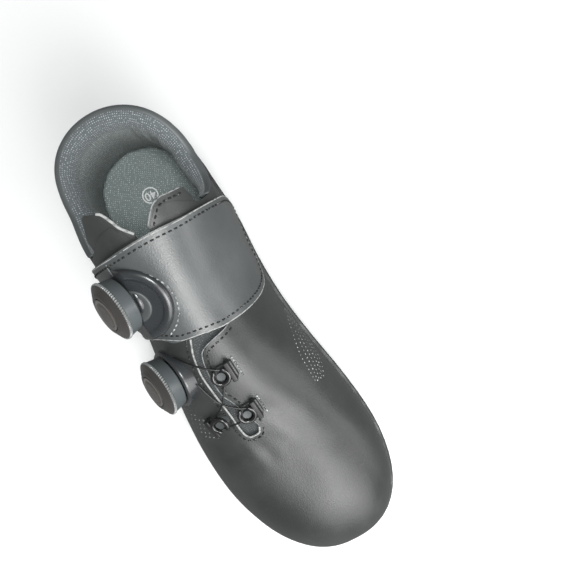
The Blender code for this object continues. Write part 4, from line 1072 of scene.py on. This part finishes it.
def dial(prefix, station, level, tilt, lean, layer, lift, dishRadius):
    point, normal = onFlank(-1, station, level)
    axis = Vector((normal.x * lean, normal.y, normal.z)).normalized()
    at = seat(point + normal * layer, axis, tilt)
    back = at.inverted()
    r, tall, high, skirt = dials["radius"], dials["rim"], dials["knob"], lift - dials["skirt"]
    top, badge = lift + high, dials["badge"]
    hub, rim = r * 0.52, dishRadius - dials["floor"]
    base = turned(prefix + " base", (
        (dials["foot"], dishRadius),
        *((tall * share, dishRadius - inset) for share, inset in dials["dishProfile"]),
        (tall * 0.42, rim), (tall * 0.30, rim - 0.0012), (tall * 0.28, hub + 0.0024),
        (tall * 0.40, hub + 0.0008), (lift * 0.5, hub + 0.0001), (lift - 0.0008, hub),
        (lift - gap, hub - 0.0006)), 96, at)
    place(prefix + " dial dish", base, (dishPlastic,), (prefix + "_dial_base",), 50)
    knob = turned(prefix + " knob", (
        (skirt, hub + 0.0006), (skirt, r - 0.0034), (skirt + 0.0003, r - 0.0026),
        (skirt + 0.0010, r - 0.0017),
        *((lift + high * share, r - inset) for share, inset in dials["knobProfile"]),
        (top - 0.0002, badge + 0.0022), (top, badge + 0.0014), (top, badge + 0.0005),
        (top - 0.0002, badge + gap), (top - dials["badgeDepth"] - gap, badge + gap)),
        dials["teeth"] * 6, at, teeth=(7, 8, 9, 10), depth=dials["toothDepth"])
    # skirt, knurl band and face: the knurl band's lighter plastic is painted glint
    for face in knob.polygons:
        up = (back @ face.center).z - lift
        face.material_index = 1 if up < high * 0.57 else (2 if up < high * 0.74 else 0)
    place(prefix + " dial knob", knob, (knobPlastic, skirtPlastic, knurlPaintedGlint),
          (prefix + "_dial_knob",), 40)
    cap = turned(prefix + " badge", (
        (top - dials["badgeDepth"], badge),
        *((top + up, badge - inset) for up, inset in dials["faceProfile"])), 96, at)
    for face in cap.polygons:
        spot = back @ face.center
        ringed = badge - 0.0015 < math.hypot(spot.x, spot.y) < badge - 0.0002
        face.material_index = 1 if ringed else 0
    place(prefix + " dial face", cap, (facePlastic, badgeRing),
          (prefix + "_dial_badge",), 50)
    return at


upperAt = dial("upper", 0.343, 0.66, 0.10, 0.4, gap + strap["thick"], dials["upperLift"],
               dials["dish"] * 0.82)
dial("lower", 0.510, 0.54, 0.05, 1.0, 0.0, dials["lowerLift"], dials["radius"] + 0.0006)

# stepped round moulding on the strap, cut flat behind the knob
saddle = {
    "radius": 0.0195, "band": 0.0050, "cap": 0.0089, "rise": 0.0013, "cut": 0.0028, "up": 0.0005,
    "station": 0.3645, "across": -0.2125, "level": 0.971, "axis": (0.40, -0.30, 0.866),
    "stitchRadius": 0.0214, "reach": 0.06,
}
x, z = flank(saddle["station"], saddle["level"])
saddleAt = seat(Vector((x, saddle["across"] * ball, z)), Vector(saddle["axis"]).normalized())
saddleAt = saddleAt @ Matrix.Translation((0, 0, saddle["up"]))
cutAt = upperAt @ Matrix.Translation((0, 0, dials["upperLift"] - saddle["cut"]))


def mouldingPart(name, rows, mat):
    mesh = turned(name, [(saddle["rise"] * share + up, radius) for share, up, radius in rows], 96,
                  saddleAt)
    reach = saddle["reach"]
    tool = planTool(((-reach, -reach), (reach, -reach), (reach, reach), (-reach, reach)), 0, reach)
    tool.transform(cutAt)
    place("upper dial " + name, carve(mesh, tool), (mat,), (), 50)


r, inner, cap = saddle["radius"], saddle["radius"] - saddle["band"], saddle["cap"]
mouldingPart("moulding", (
    (0, -0.011, r), (-0.10, 0, r), (0.40, 0, r - 0.0004), (0.80, 0, r - 0.0011),
    (1.08, 0, r - 0.0020), (1.15, 0, inner + 0.0022), (1.00, 0, inner + 0.0013),
    (0.70, 0, inner + 0.0005), (0.30, 0, inner + 0.0001), (0, 0.0002, inner - 0.0006),
    (0, 0, cap + 0.0010), (0, 0, cap * 0.5)), dishPlastic)
mouldingPart("moulding middle", (
    (0, -0.002, cap), (0.22, 0, cap), (0.45, 0, cap - 0.0003), (0.60, 0, cap - 0.0010),
    (0.62, 0, cap - 0.0020), (0.55, 0, cap * 0.6), (0.52, 0, cap * 0.2)), capPlastic)

# stitches on the strap round the moulding
arc = []
for angle in (math.radians(degrees) for degrees in range(16, 150, 5)):
    spot = saddleAt @ (Vector((math.cos(angle), math.sin(angle), 0)) * saddle["stitchRadius"])
    arc.append(onPlan(spot.x, spot.y))
stitches("moulding stitches", lifted(arc, strapTop), mat=lightThread)
print("dials done")

# wire guides: station, level on the outer side, turn
guides = {
    "guide_inner_upper": (0.545, 0.965, 0.0), "guide_inner_lower": (0.632, 0.965, 0.0),
    "guide_outer_lower": (0.628, 0.770, 180.0), "guide_outer_upper": (0.343, 0.170, 180.0),
}
guideSizes = {"length": 0.0095, "width": 0.0085, "tab": 0.0016, "spool": 0.0022, "ring": 0.0038,
              "tube": 0.0011, "wire": 0.0005, "depth": -0.002}


def roundedBox(name, low, high, radius, matrix):
    bm = bmesh.new()
    bmesh.ops.create_cube(bm, size=1.0)
    for v in bm.verts:
        v.co = Vector([(low[i] + high[i]) / 2 + v.co[i] * (high[i] - low[i]) for i in range(3)])
    bmesh.ops.bevel(bm, geom=bm.edges[:], offset=radius, segments=3, profile=0.6, affect="EDGES")
    bmesh.ops.transform(bm, matrix=matrix, verts=bm.verts)
    mesh = bpy.data.meshes.new(name)
    bm.to_mesh(mesh)
    bm.free()
    return mesh


def torusArc(name, major, minor, start, end, height, matrix, steps=36, sides=12):
    points = []
    for i in range(steps + 1):
        angle = math.radians(start + (end - start) * i / steps)
        close = min(i, steps - i)
        size = minor * (1.0 if close > 1 else (0.82 if close else 0.5))
        for j in range(sides):
            turn = 2 * math.pi * j / sides
            r = major + size * math.cos(turn)
            points.append(tuple(matrix @ Vector((r * math.cos(angle), r * math.sin(angle),
                                                 height + size * math.sin(turn)))))
    return solid(name, points, ringFaces(steps + 1, sides))


for name, (station, level, spin) in guides.items():
    point, normal = onFlank(-1, station, level)
    at = seat(point, normal, 0.0, math.radians(spin))
    g = guideSizes
    a, b, move = g["length"] / 2, g["width"] / 2, g["width"] * 0.42
    deep, flat, tube, spool, wheel = g["depth"], g["tab"], g["tube"], g["spool"], g["ring"]
    label = name.replace("_", " ")
    tab = roundedBox(label + " tab", (-a, -b + move, deep), (a, b + move, flat), 0.0007, at)
    boxUv(tab)
    place(label + " tab", tab, (leather,), (name,), 50)
    high = flat + 2 * g["wire"] + 2 * gap
    ring = torusArc(label + " ring", wheel * 1.1, tube * 1.1, 200, 520, high + tube * 0.55, at)
    place(label + " ring", ring, (ringPlastic,), (), 60)
    post = turned(label + " post", (
        (deep, wheel + 0.0006), (flat - 0.0003, wheel + 0.0004), (flat, wheel), (flat, spool),
        (high + tube * 0.3, spool), (high + tube * 0.2, spool * 0.5)), 28, at)
    place(label + " post", post, (capPlastic,), (), 50)
    wide, near = g["length"] * 0.60, spool + 2 * g["wire"] + 3 * gap
    block = roundedBox(label + " block", (-wide, near, 0.0),
                       (wide, near + g["width"] * 0.32, high + tube * 1.2), 0.0006, at)
    place(label + " block", block, (blockPlastic,), (), 50)
    if name == "guide_outer_upper":
        continue
    spots = [at @ Vector((t * (a + 0.0016), b + move + 0.0011, 0.0002))
             for t in np.linspace(-1, 1, 9)]
    stitches(label + " seam", lifted([onPlan(p.x, p.y) for p in spots], 0.0002), stitch=0.0014,
             pitch=0.0019, mat=lightThread)
print("guides done")

# floor, lights and camera
floorMesh = rawMesh("floor", [(-4, -4, 0), (4, -4, 0), (4, 4, 0), (-4, 4, 0)], [(0, 1, 2, 3)])
floorObj = tempObject("floor", floorMesh)
pale, dim = (0.95, 0.95, 0.95), (0.18, 0.18, 0.18)  # dim to glossy rays: painted shade in the floor's reflection on the leather
floorMat, floorTree, floorShader = material("pale floor", pale, 0.9)
glossy = addNode(floorTree, "LightPath").outputs["Is Glossy Ray"]
feed(floorTree, floorShader, {"Base Color": mixColour(floorTree, glossy, pale, dim)})
floorMesh.materials.append(floorMat)

world = bpy.data.worlds.new("studio")
bpy.context.scene.world = world
world.use_nodes = True
# the world is darker to glossy rays: painted shade in the leather's reflections
glossy = addNode(world.node_tree, "LightPath").outputs["Is Glossy Ray"]
feed(world.node_tree, world.node_tree.nodes["Background"], {
    "Color": mixColour(world.node_tree, glossy, (1.0, 1.0, 1.0), (0.45, 0.45, 0.45)),
    "Strength": 0.34})
bpy.context.scene.view_settings.view_transform = "Standard"


# soft studio lights: way to it from the aim, distance, size, power, colour
aim = Vector((0.10, 0.0, 0.05))
lights = {
    "key": ((0.78, 0.17, 0.60), 1.0, 1.1, 8.5, (1.0, 1.0, 0.99)),
    "core": ((0.72, 0.13, 0.68), 1.1, 0.45, 3.2, (1, 1, 1)),
    "side": ((0.40, 0.85, 0.25), 1.1, 0.5, 1.8, (1, 1, 1)),
    "top": ((0.10, 0.14, 1.00), Vector((0.10, 0.14, 1.00)).length, 0.3, 5.5, (0.97, 1.0, 1.0)),
}
for name, (way, distance, size, power, colour) in lights.items():
    light = bpy.data.lights.new(name, "AREA")
    light.shape = "DISK"
    light.size, light.energy, light.color = size, power, colour
    obj = tempObject(name, light)
    obj.location = aim + Vector(way).normalized() * distance
    obj.rotation_euler = (-Vector(way)).to_track_quat("-Z", "Y").to_euler()

view = {"azimuth": 123.01, "elevation": 86.93, "roll": -61.36, "distance": 0.36935,
        "target": (0.09803, 0.04621, 0.040), "focal": 648.06, "frame": 580.0}


def cameraMatrix():
    a, e, r = (math.radians(view[key]) for key in ("azimuth", "elevation", "roll"))
    back = Vector((math.sin(a) * math.cos(e), -math.cos(a) * math.cos(e), math.sin(e)))
    right = Vector((0, 0, 1)).cross(back).normalized()
    up = back.cross(right)
    right2 = right * math.cos(r) + up * math.sin(r)
    up2 = -right * math.sin(r) + up * math.cos(r)
    m = Matrix((right2, up2, back)).transposed().to_4x4()
    m.translation = Vector(view["target"]) + back * view["distance"]
    return m


cameraData = bpy.data.cameras.new("camera")
cameraData.sensor_width = 36
cameraData.lens = view["focal"] / view["frame"] * 36
cameraData.clip_start = 0.01
camera = bpy.data.objects.new("camera", cameraData)
bpy.context.scene.collection.objects.link(camera)
camera.matrix_world = cameraMatrix()
bpy.context.scene.camera = camera

print("scene ready")
